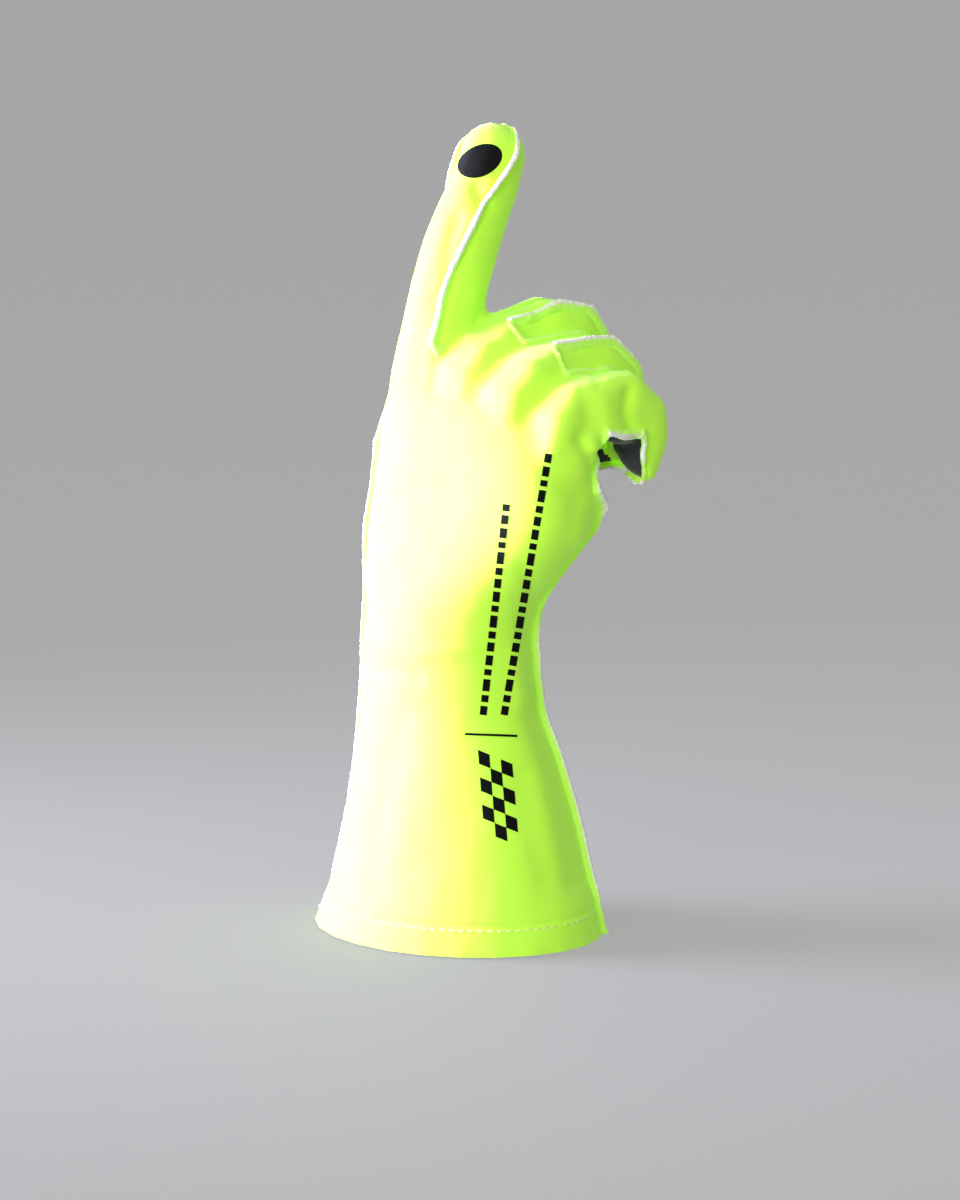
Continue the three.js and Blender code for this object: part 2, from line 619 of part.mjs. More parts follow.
// How far over the round tip, in degrees, a gusset runs before it narrows to a point.
function gussetEnd(part) {
  const s = fingerSection(part.line, part.line.length);
  const across = (part.onBack + part.onPalm) / 2 - SEAM_GAP - SEAM_THICKNESS / 2;
  return THREE.MathUtils.radToDeg(Math.acos(Math.min(across / s.radial, 1)));
}

// The seams of a web: one on the back from a finger's crown along the gusset, through the web and up
// the next finger, and one along the gusset's other edge on the palm.
function webSeam(web, palm) {
  const inset = SEAM_GAP + SEAM_THICKNESS / 2;
  const arms = [0, 1].map((n) => {
    const part = webSide(web, n);
    const { line, side } = part;
    const onTip = (degrees) => line.length + (fingerSection(line, line.length).back * degrees) / 90;
    const end = gussetEnd(part);
    const along = stepsBetween(part.start - inset, line.length, STEP);
    const over = (palm ? PALM_SEAM_ON_TIP : BACK_SEAM_ON_TIP).map((share) => onTip(share * end));
    const places = [...along, ...over].map((d) => besideGusset(part, d, palm));
    if (palm) return places;
    const toCrown = stepsBetween(onTip(end), crownAt(line) - CROWN_GAP, STEP / 2)
      .map((d) => seamOnFinger(line, d, side * 90, side * 90));
    return [...places, ...toCrown];
  });
  return { arms, join: [arms[0][0], arms[1][0]] };
}

// The cuts that part a web's gusset from the back and the palm, and the back from the palm inside.
function webCuts(web) {
  const parts = [webSide(web, 0), webSide(web, 1)];
  const blocks = parts.map((part) => gussetBlock(part, SEAM_THICKNESS / 2));
  const [first, second] = parts.map((part) => part.line);
  const rings = stepsBetween(0, parts[0].start, STEP).map((d) => {
    const a = fingerSection(first, d);
    const b = fingerSection(second, Math.min(d, parts[1].start));
    return [[a, 1], [b, 1], [b, -1], [a, -1]]
      .map(([s, way]) => s.middle.clone().addScaledVector(s.dorsal, way * SEAM_GAP));
  });
  return [...blocks, chain(rings)];
}

const gussets = [];
for (const web of WEBS) {
  const onBack = webSeam(web, false);
  const onPalm = webSeam(web, true);
  const room = addSeam(`seam_${web.name}`, onBack.arms, [onBack.join])
    .add(addSeam(`palm_seam_${web.name}`, onPalm.arms, [onPalm.join]));
  const block = gussetBlock(webSide(web, 0), 0).add(gussetBlock(webSide(web, 1), 0));
  gussets.push({ name: `gusset_${web.name}`, solid: skin.subtract(hollow).intersect(block).subtract(room) });
  for (const cut of webCuts(web)) cuts = cuts.add(cut);
}

// The seam between the palm and the front of the cuff, from one side seam round to the other.
const wrist = handSection(WRIST_SEAM_HEIGHT);
const beside = THREE.MathUtils.radToDeg((SEAM_THICKNESS + SEAM_GAP) / wrist.front);
const fromThumb = 360 + between(handRows, "thumbSeam", WRIST_SEAM_HEIGHT) - beside;
const toLittle = between(handRows, "littleSeam", WRIST_SEAM_HEIGHT) + beside;
addSeam("seam_wrist", [stepsBetween(fromThumb, toLittle, SEAM_STEP_ANGLE).map((a) => seamOnHand(WRIST_SEAM_HEIGHT, a))]);

// The seam round the thumb's back panel: up one side, over the tip, down the other and across.
const thumbSeamFrom = ROOT + THUMB_SEAM;
const thumbSide = (d) => lerp(THUMB_SEAM_ROOT, 90, ease(d, thumbSeamFrom, thumb.length));
const overThumb = stepsBetween(thumbSeamFrom, crownAt(thumb), STEP);
const upThumb = overThumb.map((d) => seamOnFinger(thumb, d, -thumbSide(d), -thumbSide(d)));
const downThumb = overThumb.slice(0, -1).reverse().map((d) => seamOnFinger(thumb, d, thumbSide(d), thumbSide(d)));
const acrossThumb = stepsBetween(THUMB_SEAM_ROOT, -THUMB_SEAM_ROOT, SEAM_STEP_ANGLE)
  .map((a) => seamOnFinger(thumb, thumbSeamFrom, a, a));
addSeam("seam_thumb", [[...upThumb, ...downThumb]], [acrossThumb]);

// The cloth: the shell falls into its panels along the seams, and each panel is known by a place on it.
const shell = skin.subtract(hollow).subtract(cuts).decompose();
const hem = handBand(0, HEM_HEIGHT, HAND_SIDES, STEP, HEM_FOLD).subtract(hollow).subtract(cuts).decompose();
function pieceAt(pieces, place) {
  const away = (piece) => {
    const { vertProperties: v, numProp, numVert } = piece.getMesh();
    let nearest = Infinity;
    for (let i = 0; i < numVert; i++) {
      nearest = Math.min(nearest, place.distanceTo(new THREE.Vector3().fromArray(v, i * numProp)));
    }
    return nearest;
  };
  return pieces.reduce((best, piece) => (away(piece) < away(best) ? piece : best));
}
const onHand = (height, angle) => sectionPoint(handSection(height), angle);
const onFinger = (line, distance, angle) => fingerPlace(line, distance, angle).p;
const thumbMiddle = (thumbSeamFrom + thumb.length) / 2;
const LITTLE_PATCH = 0.78;

const FABRIC = { color: 0xc8f01e, roughness: 0.72, metalness: 0 };
const SUEDE = { color: 0x1c1d1f, roughness: 0.95, metalness: 0 };
const RAW_EDGE = { color: 0xf1f5d2, roughness: 0.9, metalness: 0 };

const group = new THREE.Group();
function addPiece(name, solid, look) {
  const mesh = new THREE.Mesh(toGeometry(tidied(solid)), new THREE.MeshStandardMaterial(look));
  mesh.name = name;
  group.add(mesh);
}
addPiece("back_panel", pieceAt(shell, onHand(CUFF_HEIGHT / 2, 0)), FABRIC);
addPiece("palm_panel", pieceAt(shell, onHand(CUFF_HEIGHT + PALM_LENGTH * 0.3, 180)), SUEDE);
addPiece("little_tip_patch", pieceAt(shell, onFinger(little, little.length * LITTLE_PATCH, 180)), SUEDE);
addPiece("cuff_front", pieceAt(shell, onHand(CUFF_HEIGHT / 2, 180)), FABRIC);
addPiece("thumb_back", pieceAt(shell, onFinger(thumb, thumbMiddle, 0)), FABRIC);
for (const { name, solid } of gussets) addPiece(name, solid, FABRIC);
addPiece("hem_back", pieceAt(hem, onHand(HEM_HEIGHT / 2, 0)), FABRIC);
addPiece("hem_front", pieceAt(hem, onHand(HEM_HEIGHT / 2, 180)), FABRIC);
for (const seam of seams) addPiece(seam.name, seam.solid, RAW_EDGE);

export default group;
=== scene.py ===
"""Dresses the karting glove's solids: knit panels, suede palm, raw-edge seams, hem, stitches and prints."""

import math

import bmesh
import bpy
import numpy as np
from bpy.props import FloatProperty, FloatVectorProperty, IntProperty, PointerProperty
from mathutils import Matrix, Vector, noise
from mathutils.bvhtree import BVHTree
from mathutils.kdtree import KDTree


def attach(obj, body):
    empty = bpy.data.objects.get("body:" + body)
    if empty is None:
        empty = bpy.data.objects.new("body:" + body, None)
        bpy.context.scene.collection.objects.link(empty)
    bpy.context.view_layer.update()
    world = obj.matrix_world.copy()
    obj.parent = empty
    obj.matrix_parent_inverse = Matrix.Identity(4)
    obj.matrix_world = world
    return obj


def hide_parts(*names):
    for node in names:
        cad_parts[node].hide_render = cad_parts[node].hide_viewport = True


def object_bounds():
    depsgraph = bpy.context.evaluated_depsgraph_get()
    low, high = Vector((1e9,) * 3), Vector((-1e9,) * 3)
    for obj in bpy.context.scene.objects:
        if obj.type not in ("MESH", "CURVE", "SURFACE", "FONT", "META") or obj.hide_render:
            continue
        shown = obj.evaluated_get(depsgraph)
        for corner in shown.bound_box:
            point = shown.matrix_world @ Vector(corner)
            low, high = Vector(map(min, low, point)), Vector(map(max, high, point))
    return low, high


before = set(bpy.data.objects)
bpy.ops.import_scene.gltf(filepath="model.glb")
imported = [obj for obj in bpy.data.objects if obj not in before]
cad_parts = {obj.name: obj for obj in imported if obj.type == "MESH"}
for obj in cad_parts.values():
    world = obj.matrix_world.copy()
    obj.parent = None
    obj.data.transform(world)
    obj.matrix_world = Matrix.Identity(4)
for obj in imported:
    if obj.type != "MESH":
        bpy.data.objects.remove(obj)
SOLIDS_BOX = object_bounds()

bl_info = {
    "name": "Karting Glove",
    "version": (1, 0, 0),
    "blender": (4, 5, 0),
    "location": "View3D > Sidebar > Karting Glove",
    "description": "Dresses the glove's solids in knit, suede, raw-edge seams and prints",
    "category": "Add Mesh",
}

MM = 0.001
MERGE_DISTANCE = 0.002 * MM
SMOOTH_SHADING_ANGLE = math.radians(50)

# Each cloth panel: its solid, the finished piece and its finish.
PANELS = [
    ("back_panel", "back_cloth", "knit"),
    ("palm_panel", "palm_suede", "suede"),
    ("little_tip_patch", "little_tip_suede", "suede"),
    ("cuff_front", "cuff_front_cloth", "knit"),
    ("thumb_back", "thumb_back_cloth", "knit"),
    ("gusset_index_middle", "gusset_cloth_index_middle", "knit"),
    ("gusset_middle_ring", "gusset_cloth_middle_ring", "knit"),
    ("gusset_ring_little", "gusset_cloth_ring_little", "knit"),
    ("hem_back", "hem_cloth_back", "knit"),
    ("hem_front", "hem_cloth_front", "knit"),
]
SEAMS = [
    "seam_thumb_side", "seam_little_side", "seam_index_middle", "palm_seam_index_middle",
    "seam_middle_ring", "palm_seam_middle_ring", "seam_ring_little", "palm_seam_ring_little",
    "seam_wrist", "seam_thumb",
]

# The photograph's view: what the camera looks at, and from where. Its picture is 960 by 1200 pixels.
VIEW_TARGET = Vector((4.0, 4.7, 114.5)) * MM
VIEW_AZIMUTH = math.radians(50.0)
VIEW_ELEVATION = math.radians(8.3)
VIEW_DISTANCE = 1.5
VIEW_MM_PER_PIXEL = 0.345
IMAGE_WIDTH = 960
IMAGE_HEIGHT = 1200
SENSOR_WIDTH = 36.0

TO_CAMERA = Vector((
    math.sin(VIEW_AZIMUTH) * math.cos(VIEW_ELEVATION),
    -math.cos(VIEW_AZIMUTH) * math.cos(VIEW_ELEVATION),
    math.sin(VIEW_ELEVATION),
))
VIEW_RIGHT = Vector((math.cos(VIEW_AZIMUTH), math.sin(VIEW_AZIMUTH), 0.0))
VIEW_UP = TO_CAMERA.cross(VIEW_RIGHT)
EYE = VIEW_TARGET + TO_CAMERA * VIEW_DISTANCE


def length_property(name, description, default):
    return FloatProperty(
        name=name, description=description, default=default, min=0.0,
        subtype="DISTANCE", unit="LENGTH", precision=5,
    )


def colour_property(name, description, default):
    return FloatVectorProperty(
        name=name, description=description, default=default, size=3, min=0.0, max=1.0, subtype="COLOR",
    )


class GloveSizes(bpy.types.PropertyGroup):
    """Sizes of the cloth, the seams, the stitches and the prints."""

    skin_mesh: length_property("Skin mesh", "Length of the skin's faces", 1.1 * MM)
    cloth: length_property("Cloth", "Thickness of the panels", 1.6 * MM)
    closing: length_property("Closing", "How far the panels swell to close the gaps between them", 0.8 * MM)
    seam_reach: length_property("Seam reach", "How far a seam's core stands off the panels", 0.6 * MM)
    skin_smoothing: IntProperty(
        name="Skin smoothing", description="Rounds of smoothing over the whole skin", default=90, min=0)
    seam_mesh: length_property("Seam mesh", "Length of the seams' faces", 0.5 * MM)
    seam_height: length_property("Seam height", "How far the seams stand off the skin", 3.0 * MM)
    seam_thinning: length_property("Seam thinning", "How much each side of a seam draws in", 0.02 * MM)
    fuzz: length_property("Fuzz", "Depth of the raw edge's unevenness", 0.22 * MM)
    hem_height: length_property("Hem height", "Height of the folded hem", 9.7 * MM)
    stitch_length: length_property("Stitch length", "Length of a stitch in the hem", 2.3 * MM)
    stitch_width: length_property("Stitch width", "Width of a stitch in the hem", 0.6 * MM)
    stitch_pitch: length_property("Stitch pitch", "From one stitch to the next", 3.3 * MM)
    print_rise: length_property("Print rise", "How far a print stands off the cloth", 0.2 * MM)


class GloveColours(bpy.types.PropertyGroup):
    """Colours of the cloths, the prints and the stage."""

    knit: colour_property("Knit", "The fluorescent cloth", (0.55, 0.94, 0.075))
    # The knit's painted glow: a yellow-green light that the cloth gives off everywhere, in its shade too,
    # which lightens and colours the shaded side.
    knit_painted_glow: colour_property("Knit glow", "The light that the fluorescent cloth adds", (0.08, 0.22, 0.0))
    suede: colour_property("Suede", "The palm's suede", (0.022, 0.023, 0.026))
    raw_edge: colour_property("Raw edge", "The cut edge of the cloth", (0.93, 0.95, 0.84))
    thread: colour_property("Thread", "The hem's stitches", (0.90, 1.0, 0.45))
    ink: colour_property("Ink", "The prints", (0.0035, 0.004, 0.0035))
    floor: colour_property("Floor", "The floor and the backdrop", (0.034, 0.034, 0.033))


def sizes():
    return bpy.context.scene.glove_sizes


def colours():
    return bpy.context.scene.glove_colours


# Working with meshes.

def read_points(mesh):
    flat = np.empty(len(mesh.vertices) * 3, np.float32)
    mesh.vertices.foreach_get("co", flat)
    return flat.reshape(-1, 3).astype(float)


def read_normals(mesh):
    flat = np.empty(len(mesh.vertices) * 3, np.float32)
    mesh.vertex_normals.foreach_get("vector", flat)
    return flat.reshape(-1, 3).astype(float)


def write_points(mesh, points):
    mesh.vertices.foreach_set("co", points.astype(np.float32).ravel())
    mesh.update()


def read_edges(mesh):
    flat = np.empty(len(mesh.edges) * 2, np.int32)
    mesh.edges.foreach_get("vertices", flat)
    return flat.reshape(-1, 2)


def tree_of(mesh):
    return BVHTree.FromPolygons([v.co[:] for v in mesh.vertices], [p.vertices[:] for p in mesh.polygons])


def new_object(name, mesh):
    piece = bpy.data.objects.new(name, mesh)
    bpy.context.scene.collection.objects.link(piece)
    return piece


def only_selected(piece):
    bpy.ops.object.select_all(action="DESELECT")
    piece.select_set(True)
    bpy.context.view_layer.objects.active = piece


def apply_modifier(piece, kind, **settings):
    only_selected(piece)
    modifier = piece.modifiers.new(kind.lower(), kind)
    for name, value in settings.items():
        setattr(modifier, name, value)
    bpy.ops.object.modifier_apply(modifier=modifier.name)


def merged_copy(nodes, name):
    """The nodes' meshes in one new mesh, with their loose triangles merged."""
    form = bmesh.new()
    for node in nodes:
        form.from_mesh(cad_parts[node].data)
    bmesh.ops.remove_doubles(form, verts=form.verts, dist=MERGE_DISTANCE)
    mesh = bpy.data.meshes.new(name)
    form.to_mesh(mesh)
    form.free()
    return mesh


def smoothed(points, edges, rounds, strength):
    """The points after rounds of moving each towards its neighbours' middle."""
    count = len(points)
    first, second = edges[:, 0], edges[:, 1]
    degree = np.maximum(np.bincount(edges.ravel(), minlength=count), 1)[:, None]
    for _ in range(rounds):
        total = np.empty_like(points)
        for axis in range(points.shape[1]):
            total[:, axis] = np.bincount(first, points[second, axis], count)
            total[:, axis] += np.bincount(second, points[first, axis], count)
        points = points + (total / degree - points) * strength
    return points


def finish_piece(piece, finish, replaced=()):
    """Gives the piece its material, its smooth shading and its body, and hides the solids it replaces."""
    name, fill, slot = FINISHES[finish]
    piece.data.materials.clear()
    piece.data.materials.append(material_of(name, fill))
    only_selected(piece)
    bpy.ops.object.shade_smooth_by_angle(angle=SMOOTH_SHADING_ANGLE)
    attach(piece, "root")
    if replaced:
        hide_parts(*replaced)


# Finishes.

def socket(group, name, direction, kind, default=None):
    made = group.interface.new_socket(name=name, in_out=direction, socket_type=kind)
    if default is not None:
        made.default_value = default
    return made


# The numbers of a Mix node's colour sockets.
MIX_FIRST, MIX_SECOND, MIX_COLOUR = 6, 7, 2


class Graph:
    """Short ways to add and join the nodes of a material or a group."""

    def __init__(self, tree):
        self.tree = tree

    def add(self, kind, values=None, **settings):
        node = self.tree.nodes.new(kind)
        for name, value in settings.items():
            setattr(node, name, value)
        return self.feed(node, values or {})

    def feed(self, node, values):
        """Each value to the node's input of that name or number: a socket is joined, a number is set."""
        for name, value in values.items():
            if isinstance(value, bpy.types.NodeSocket):
                self.tree.links.new(value, node.inputs[name])
            else:
                node.inputs[name].default_value = value
        return node

    def maths(self, operation, first, second=0.0):
        return self.add("ShaderNodeMath", {0: first, 1: second}, operation=operation).outputs[0]

    def noise(self, place, scale, detail=3.0, roughness=0.5):
        node = self.add("ShaderNodeTexNoise", {
            "Vector": place, "Scale": scale, "Detail": detail, "Roughness": roughness})
        return node.outputs["Fac"]

    def ramp(self, value, stops):
        node = self.add("ShaderNodeValToRGB", {"Fac": value})
        band = node.color_ramp
        while len(band.elements) < len(stops):
            band.elements.new(0.5)
        for element, (place, colour) in zip(band.elements, stops):
            element.position = place
            element.color = (*colour, 1.0)
        return node.outputs["Color"]

    def mix(self, share, first, second):
        node = self.add("ShaderNodeMix", {0: share}, data_type="RGBA")
        for index, value in ((MIX_FIRST, first), (MIX_SECOND, second)):
            is_socket = isinstance(value, bpy.types.NodeSocket)
            self.feed(node, {index: value if is_socket else (*value, 1.0)})
        return node.outputs[MIX_COLOUR]

    def scaled(self, value, factor, start):
        """The value times a factor, from a start."""
        return self.maths("ADD", self.maths("MULTIPLY", value, factor), start)

    def bump(self, height, strength, distance, normal=None):
        values = {"Height": height, "Strength": strength, "Distance": distance}
        if normal is not None:
            values["Normal"] = normal
        return self.add("ShaderNodeBump", values).outputs["Normal"]


def new_group(name, inputs, outputs):
    tree = bpy.data.node_groups.new(name, "ShaderNodeTree")
    for label, kind, default in inputs:
        socket(tree, label, "INPUT", kind, default)
    for label, kind in outputs:
        socket(tree, label, "OUTPUT", kind)
    graph = Graph(tree)
    entry = graph.add("NodeGroupInput")
    leave = graph.add("NodeGroupOutput")
    return graph, entry, leave


# The knit: ribs to a metre, how far noise bends them, and how strong each part of its height is.
KNIT_PITCH = 1150.0
KNIT_DRIFT = 1.6
KNIT_RIB_SHARE = 0.5
KNIT_WAVE_SHARE = 0.6


def knit_group():
    """Fine ribs of a knit, crossed by its rows, in Object coordinates."""
    graph, entry, leave = new_group(
        "Fine Knit",
        [("Place", "NodeSocketVector", None), ("Pitch", "NodeSocketFloat", 900.0)],
        [("Height", "NodeSocketFloat"), ("Shade", "NodeSocketFloat")],
    )
    place = entry.outputs["Place"]
    turn = graph.maths("MULTIPLY", entry.outputs["Pitch"], math.tau)
    split = graph.add("ShaderNodeSeparateXYZ", {"Vector": place})
    across = graph.maths("ADD", split.outputs["X"], split.outputs["Y"])
    wave = graph.noise(place, 700.0, 1.0)
    drift = graph.maths("MULTIPLY", wave, KNIT_DRIFT)
    ribs, rows = (
        graph.maths("SINE", graph.maths("ADD", graph.maths("MULTIPLY", way, turn), drift))
        for way in (across, split.outputs["Z"]))
    both = graph.maths(
        "ADD", graph.maths("MULTIPLY", ribs, KNIT_RIB_SHARE), graph.maths("MULTIPLY", rows, KNIT_RIB_SHARE))
    height = graph.maths("ADD", both, graph.maths("MULTIPLY", wave, KNIT_WAVE_SHARE))
    graph.feed(leave, {"Height": height, "Shade": graph.noise(place, 45.0, 4.0, 0.6)})
    return graph.tree


def nap_group():
    """Short nap of suede or of a raw edge, with larger brushed patches."""
    graph, entry, leave = new_group(
        "Brushed Nap",
        [("Place", "NodeSocketVector", None), ("Fineness", "NodeSocketFloat", 2500.0)],
        [("Height", "NodeSocketFloat"), ("Shade", "NodeSocketFloat")],
    )
    fine = graph.noise(entry.outputs["Place"], entry.outputs["Fineness"], 4.0, 0.7)
    brushed = graph.noise(entry.outputs["Place"], 90.0, 5.0, 0.65)
    height = graph.maths("ADD", fine, graph.maths("MULTIPLY", brushed, 0.7))
    graph.feed(leave, {"Height": height, "Shade": brushed})
    return graph.tree


GROUPS = {"Fine Knit": knit_group, "Brushed Nap": nap_group}


def placed_group(graph, name, values):
    """The shared group of that name, built at its first use, with this material's values."""
    node = graph.add("ShaderNodeGroup")
    node.node_tree = bpy.data.node_groups.get(name) or GROUPS[name]()
    return graph.feed(node, values)


def material_of(name, fill):
    """The material of that name, built at its first use."""
    known = bpy.data.materials.get(name)
    if known:
        return known
    material = bpy.data.materials.new(name)
    material.use_nodes = True
    graph = Graph(material.node_tree)
    shader = next(n for n in graph.tree.nodes if n.type == "BSDF_PRINCIPLED")
    place = graph.add("ShaderNodeTexCoord").outputs["Object"]
    graph.feed(shader, fill(graph, place))
    return material


def shade(colour, factor):
    return tuple(min(1.0, c * factor) for c in colour)


def knit_finish(graph, place):
    knit = placed_group(graph, "Fine Knit", {"Place": place, "Pitch": KNIT_PITCH}).outputs
    nap = placed_group(graph, "Brushed Nap", {"Place": place, "Fineness": 2200.0}).outputs
    base = tuple(colours().knit)
    tone = graph.ramp(knit["Shade"], [(0.30, shade(base, 0.93)), (0.70, base)])
    ribbed = graph.bump(knit["Height"], 0.25, 0.10 * MM)
    return {
        "Base Color": graph.mix(graph.maths("MULTIPLY", knit["Height"], 0.10), tone, shade(base, 0.82)),
        "Roughness": graph.scaled(nap["Shade"], 0.16, 0.66),
        "Normal": graph.bump(nap["Height"], 0.18, 0.16 * MM, ribbed),
        # Painted glow: the knit gives off this yellow-green light of its own everywhere, in shade as well as
        # in light, which lightens and colours its shaded side.
        "Emission Color": (*colours().knit_painted_glow, 1.0),
        "Emission Strength": 1.0,
        "Sheen Weight": 0.25,
        "Sheen Roughness": 0.5,
        "Specular IOR Level": 0.25,
    }


def suede_finish(graph, place):
    nap = placed_group(graph, "Brushed Nap", {"Place": place, "Fineness": 1600.0}).outputs
    base = tuple(colours().suede)
    return {
        "Base Color": graph.ramp(nap["Shade"], [(0.32, base), (0.68, shade(base, 2.3))]),
        "Roughness": graph.scaled(nap["Shade"], 0.2, 0.78),
        "Normal": graph.bump(nap["Height"], 0.5, 0.22 * MM),
        "Sheen Weight": 0.5,
        "Sheen Roughness": 0.45,
        "Specular IOR Level": 0.15,
    }


# Where the knit ends and the pale raw edge begins, as shares of a seam's height.
KNIT_ENDS, EDGE_BEGINS = 0.72, 0.88
# The pale raw edge's painted glow: light that the edge gives off even in shade.
RAW_EDGE_PAINTED_GLOW = (0.05, 0.06, 0.04)


def raw_edge_finish(graph, place):
    nap = placed_group(graph, "Brushed Nap", {"Place": place, "Fineness": 1400.0}).outputs
    rise = graph.add("ShaderNodeAttribute", attribute_name="rise", attribute_type="GEOMETRY").outputs["Fac"]
    ragged = graph.maths("ADD", rise, graph.maths("MULTIPLY", nap["Height"], 0.16))
    edge, knit = tuple(colours().raw_edge), tuple(colours().knit)
    tone = graph.ramp(ragged, [(KNIT_ENDS, shade(knit, 0.95)), (EDGE_BEGINS, edge)])
    # Painted glow up the seam: the knit's painted glow on its sides, fading to the raw edge's own painted
    # glow at the top.
    painted_glow_stops = [(KNIT_ENDS, tuple(colours().knit_painted_glow)), (EDGE_BEGINS, RAW_EDGE_PAINTED_GLOW)]
    return {
        "Base Color": graph.mix(graph.maths("MULTIPLY", nap["Shade"], 0.25), tone, shade(edge, 0.8)),
        "Emission Color": graph.ramp(ragged, painted_glow_stops),
        "Emission Strength": 1.0,
        "Roughness": 0.9,
        "Normal": graph.bump(nap["Height"], 0.7, 0.35 * MM),
        "Sheen Weight": 0.4,
        "Specular IOR Level": 0.1,
    }


def ink_finish(graph, place):
    knit = placed_group(graph, "Fine Knit", {"Place": place, "Pitch": KNIT_PITCH}).outputs
    base = tuple(colours().ink)
    return {
        "Base Color": graph.ramp(knit["Shade"], [(0.35, base), (0.7, shade(base, 1.8))]),
        "Roughness": graph.scaled(knit["Shade"], 0.15, 0.6),
        "Normal": graph.bump(knit["Height"], 0.2, 0.08 * MM),
        "Specular IOR Level": 0.06,
    }


def thread_finish(graph, place):
    nap = placed_group(graph, "Brushed Nap", {"Place": place, "Fineness": 3000.0}).outputs
    base = tuple(colours().thread)
    return {
        "Base Color": graph.ramp(nap["Shade"], [(0.3, shade(base, 0.85)), (0.7, base)]),
        "Normal": graph.bump(nap["Height"], 0.5, 0.1 * MM),
        "Roughness": 0.6,
    }


def floor_finish(graph, place):
    nap = placed_group(graph, "Brushed Nap", {"Place": place, "Fineness": 40.0}).outputs
    base = tuple(colours().floor)
    return {
        "Base Color": graph.ramp(nap["Shade"], [(0.3, shade(base, 0.985)), (0.7, base)]),
        "Roughness": 0.9,
        "Emission Color": (1.0, 1.0, 1.0, 1.0),
        "Emission Strength": 0.36,
    }


# Each finish: its material's name, what fills it and the slot of its pieces.
FINISHES = {
    "knit": ("Fluorescent Knit", knit_finish, "fluorescent_fabric"),
    "suede": ("Black Suede", suede_finish, "black_suede"),
    "raw_edge": ("Raw Edge", raw_edge_finish, "raw_edge"),
    "ink": ("Black Print", ink_finish, "fluorescent_fabric"),
    "thread": ("Hem Thread", thread_finish, "fluorescent_fabric"),
}


# The skin: one smooth surface over all the panels, which is cut into them afterwards.

# Heights at the cuff's rim: where the swollen skin is cut open, where its ragged edge is then cut
# straight, and below which an open edge or a point on one belongs to the rim.
RIM_OPENING = 0.6 * MM
RIM_TRIM = 1.6 * MM
RIM_EDGE = 3 * MM
RIM_REACH = 5 * MM
CUT_TOLERANCE = 0.001 * MM


def raw_skin():
    """The solids' outer surface as one sheet of small faces, open at the cuff."""
    panels = merged_copy([node for node, _, _ in PANELS], "panels")
    around = tree_of(panels)
    cores = merged_copy(SEAMS, "cores")
    points = read_points(cores)
    reach = sizes().seam_reach
    for i, point in enumerate(points):
        near, _, _, away = around.find_nearest(Vector(point))
        if away > reach:
            points[i] = np.array(near) + (point - np.array(near)) * (reach / away)
    write_points(cores, points)
    form = bmesh.new()
    form.from_mesh(panels)
    form.from_mesh(cores)
    joined = bpy.data.meshes.new("skin")
    form.to_mesh(joined)
    form.free()
    bpy.data.meshes.remove(panels)
    bpy.data.meshes.remove(cores)
    write_points(joined, read_points(joined) + read_normals(joined) * sizes().closing)
    skin = new_object("skin", joined)
    apply_modifier(skin, "REMESH", mode="VOXEL", voxel_size=sizes().skin_mesh, use_smooth_shade=True)
    opening = RIM_OPENING - sizes().closing
    form = bmesh.new()
    form.from_mesh(skin.data)
    cut_off_below(form, opening)
    form.to_mesh(skin.data)
    form.free()
    skin.data.update()
    keep_outer_side(skin, opening)
    write_points(skin.data, read_points(skin.data) - read_normals(skin.data) * sizes().closing)
    trim_rim(skin.data)
    return skin


def cut_off_below(form, height):
    bmesh.ops.bisect_plane(
        form, geom=form.verts[:] + form.edges[:] + form.faces[:], dist=CUT_TOLERANCE,
        plane_co=(0, 0, height), plane_no=(0, 0, -1), clear_outer=True)


def trim_rim(mesh):
    """Cuts the skin's lower edge straight, a little above the rim, and brings it down to the rim."""
    form = bmesh.new()
    form.from_mesh(mesh)
    cut_off_below(form, RIM_TRIM)
    keep_largest_part(form)
    for vert in form.verts:
        if vert.is_boundary and vert.co.z < RIM_EDGE:
            vert.co.z = 0.0
    form.to_mesh(mesh)
    form.free()
    mesh.update()


# The lines of sight from a point of the skin: straight out, and leaning out to all sides by these shares.
# They start a little off the skin, and a flat cap of twice this reach closes the cuff.
SIGHT_LEANS = (0.7, 1.6)
SIGHT_TURNS = 7
SIGHT_START = 0.2 * MM
CAP_REACH = 0.1
SIGHT_ROUNDS = 8
SIGHT_BLEND = 0.6
TORN_ROUNDS = 6


def seen_from_outside(mesh, opening):
    """For each point of the mesh, 1 where a straight line from it leaves the glove, with the cuff closed."""
    cap = [(x * CAP_REACH, y * CAP_REACH, opening) for x, y in ((-1, -1), (1, -1), (1, 1), (-1, 1))]
    count = len(mesh.vertices)
    tree = BVHTree.FromPolygons(
        [v.co[:] for v in mesh.vertices] + cap,
        [p.vertices[:] for p in mesh.polygons] + [tuple(range(count, count + 4))])
    ways = [(0.0, 0.0)]
    ways += [(lean, math.tau * turn / SIGHT_TURNS) for lean in SIGHT_LEANS for turn in range(SIGHT_TURNS)]
    seen = np.zeros(count)
    for i, vert in enumerate(mesh.vertices):
        normal = vert.normal
        side = normal.orthogonal().normalized()
        other = normal.cross(side)
        start = vert.co + normal * SIGHT_START
        for lean, turn in ways:
            way = normal + (side * math.cos(turn) + other * math.sin(turn)) * lean
            if tree.ray_cast(start, way)[0] is None:
                seen[i] = 1.0
                break
    return seen


def open_edges_above(form, height):
    return [e for e in form.edges if e.is_boundary and min(v.co.z for v in e.verts) > height]


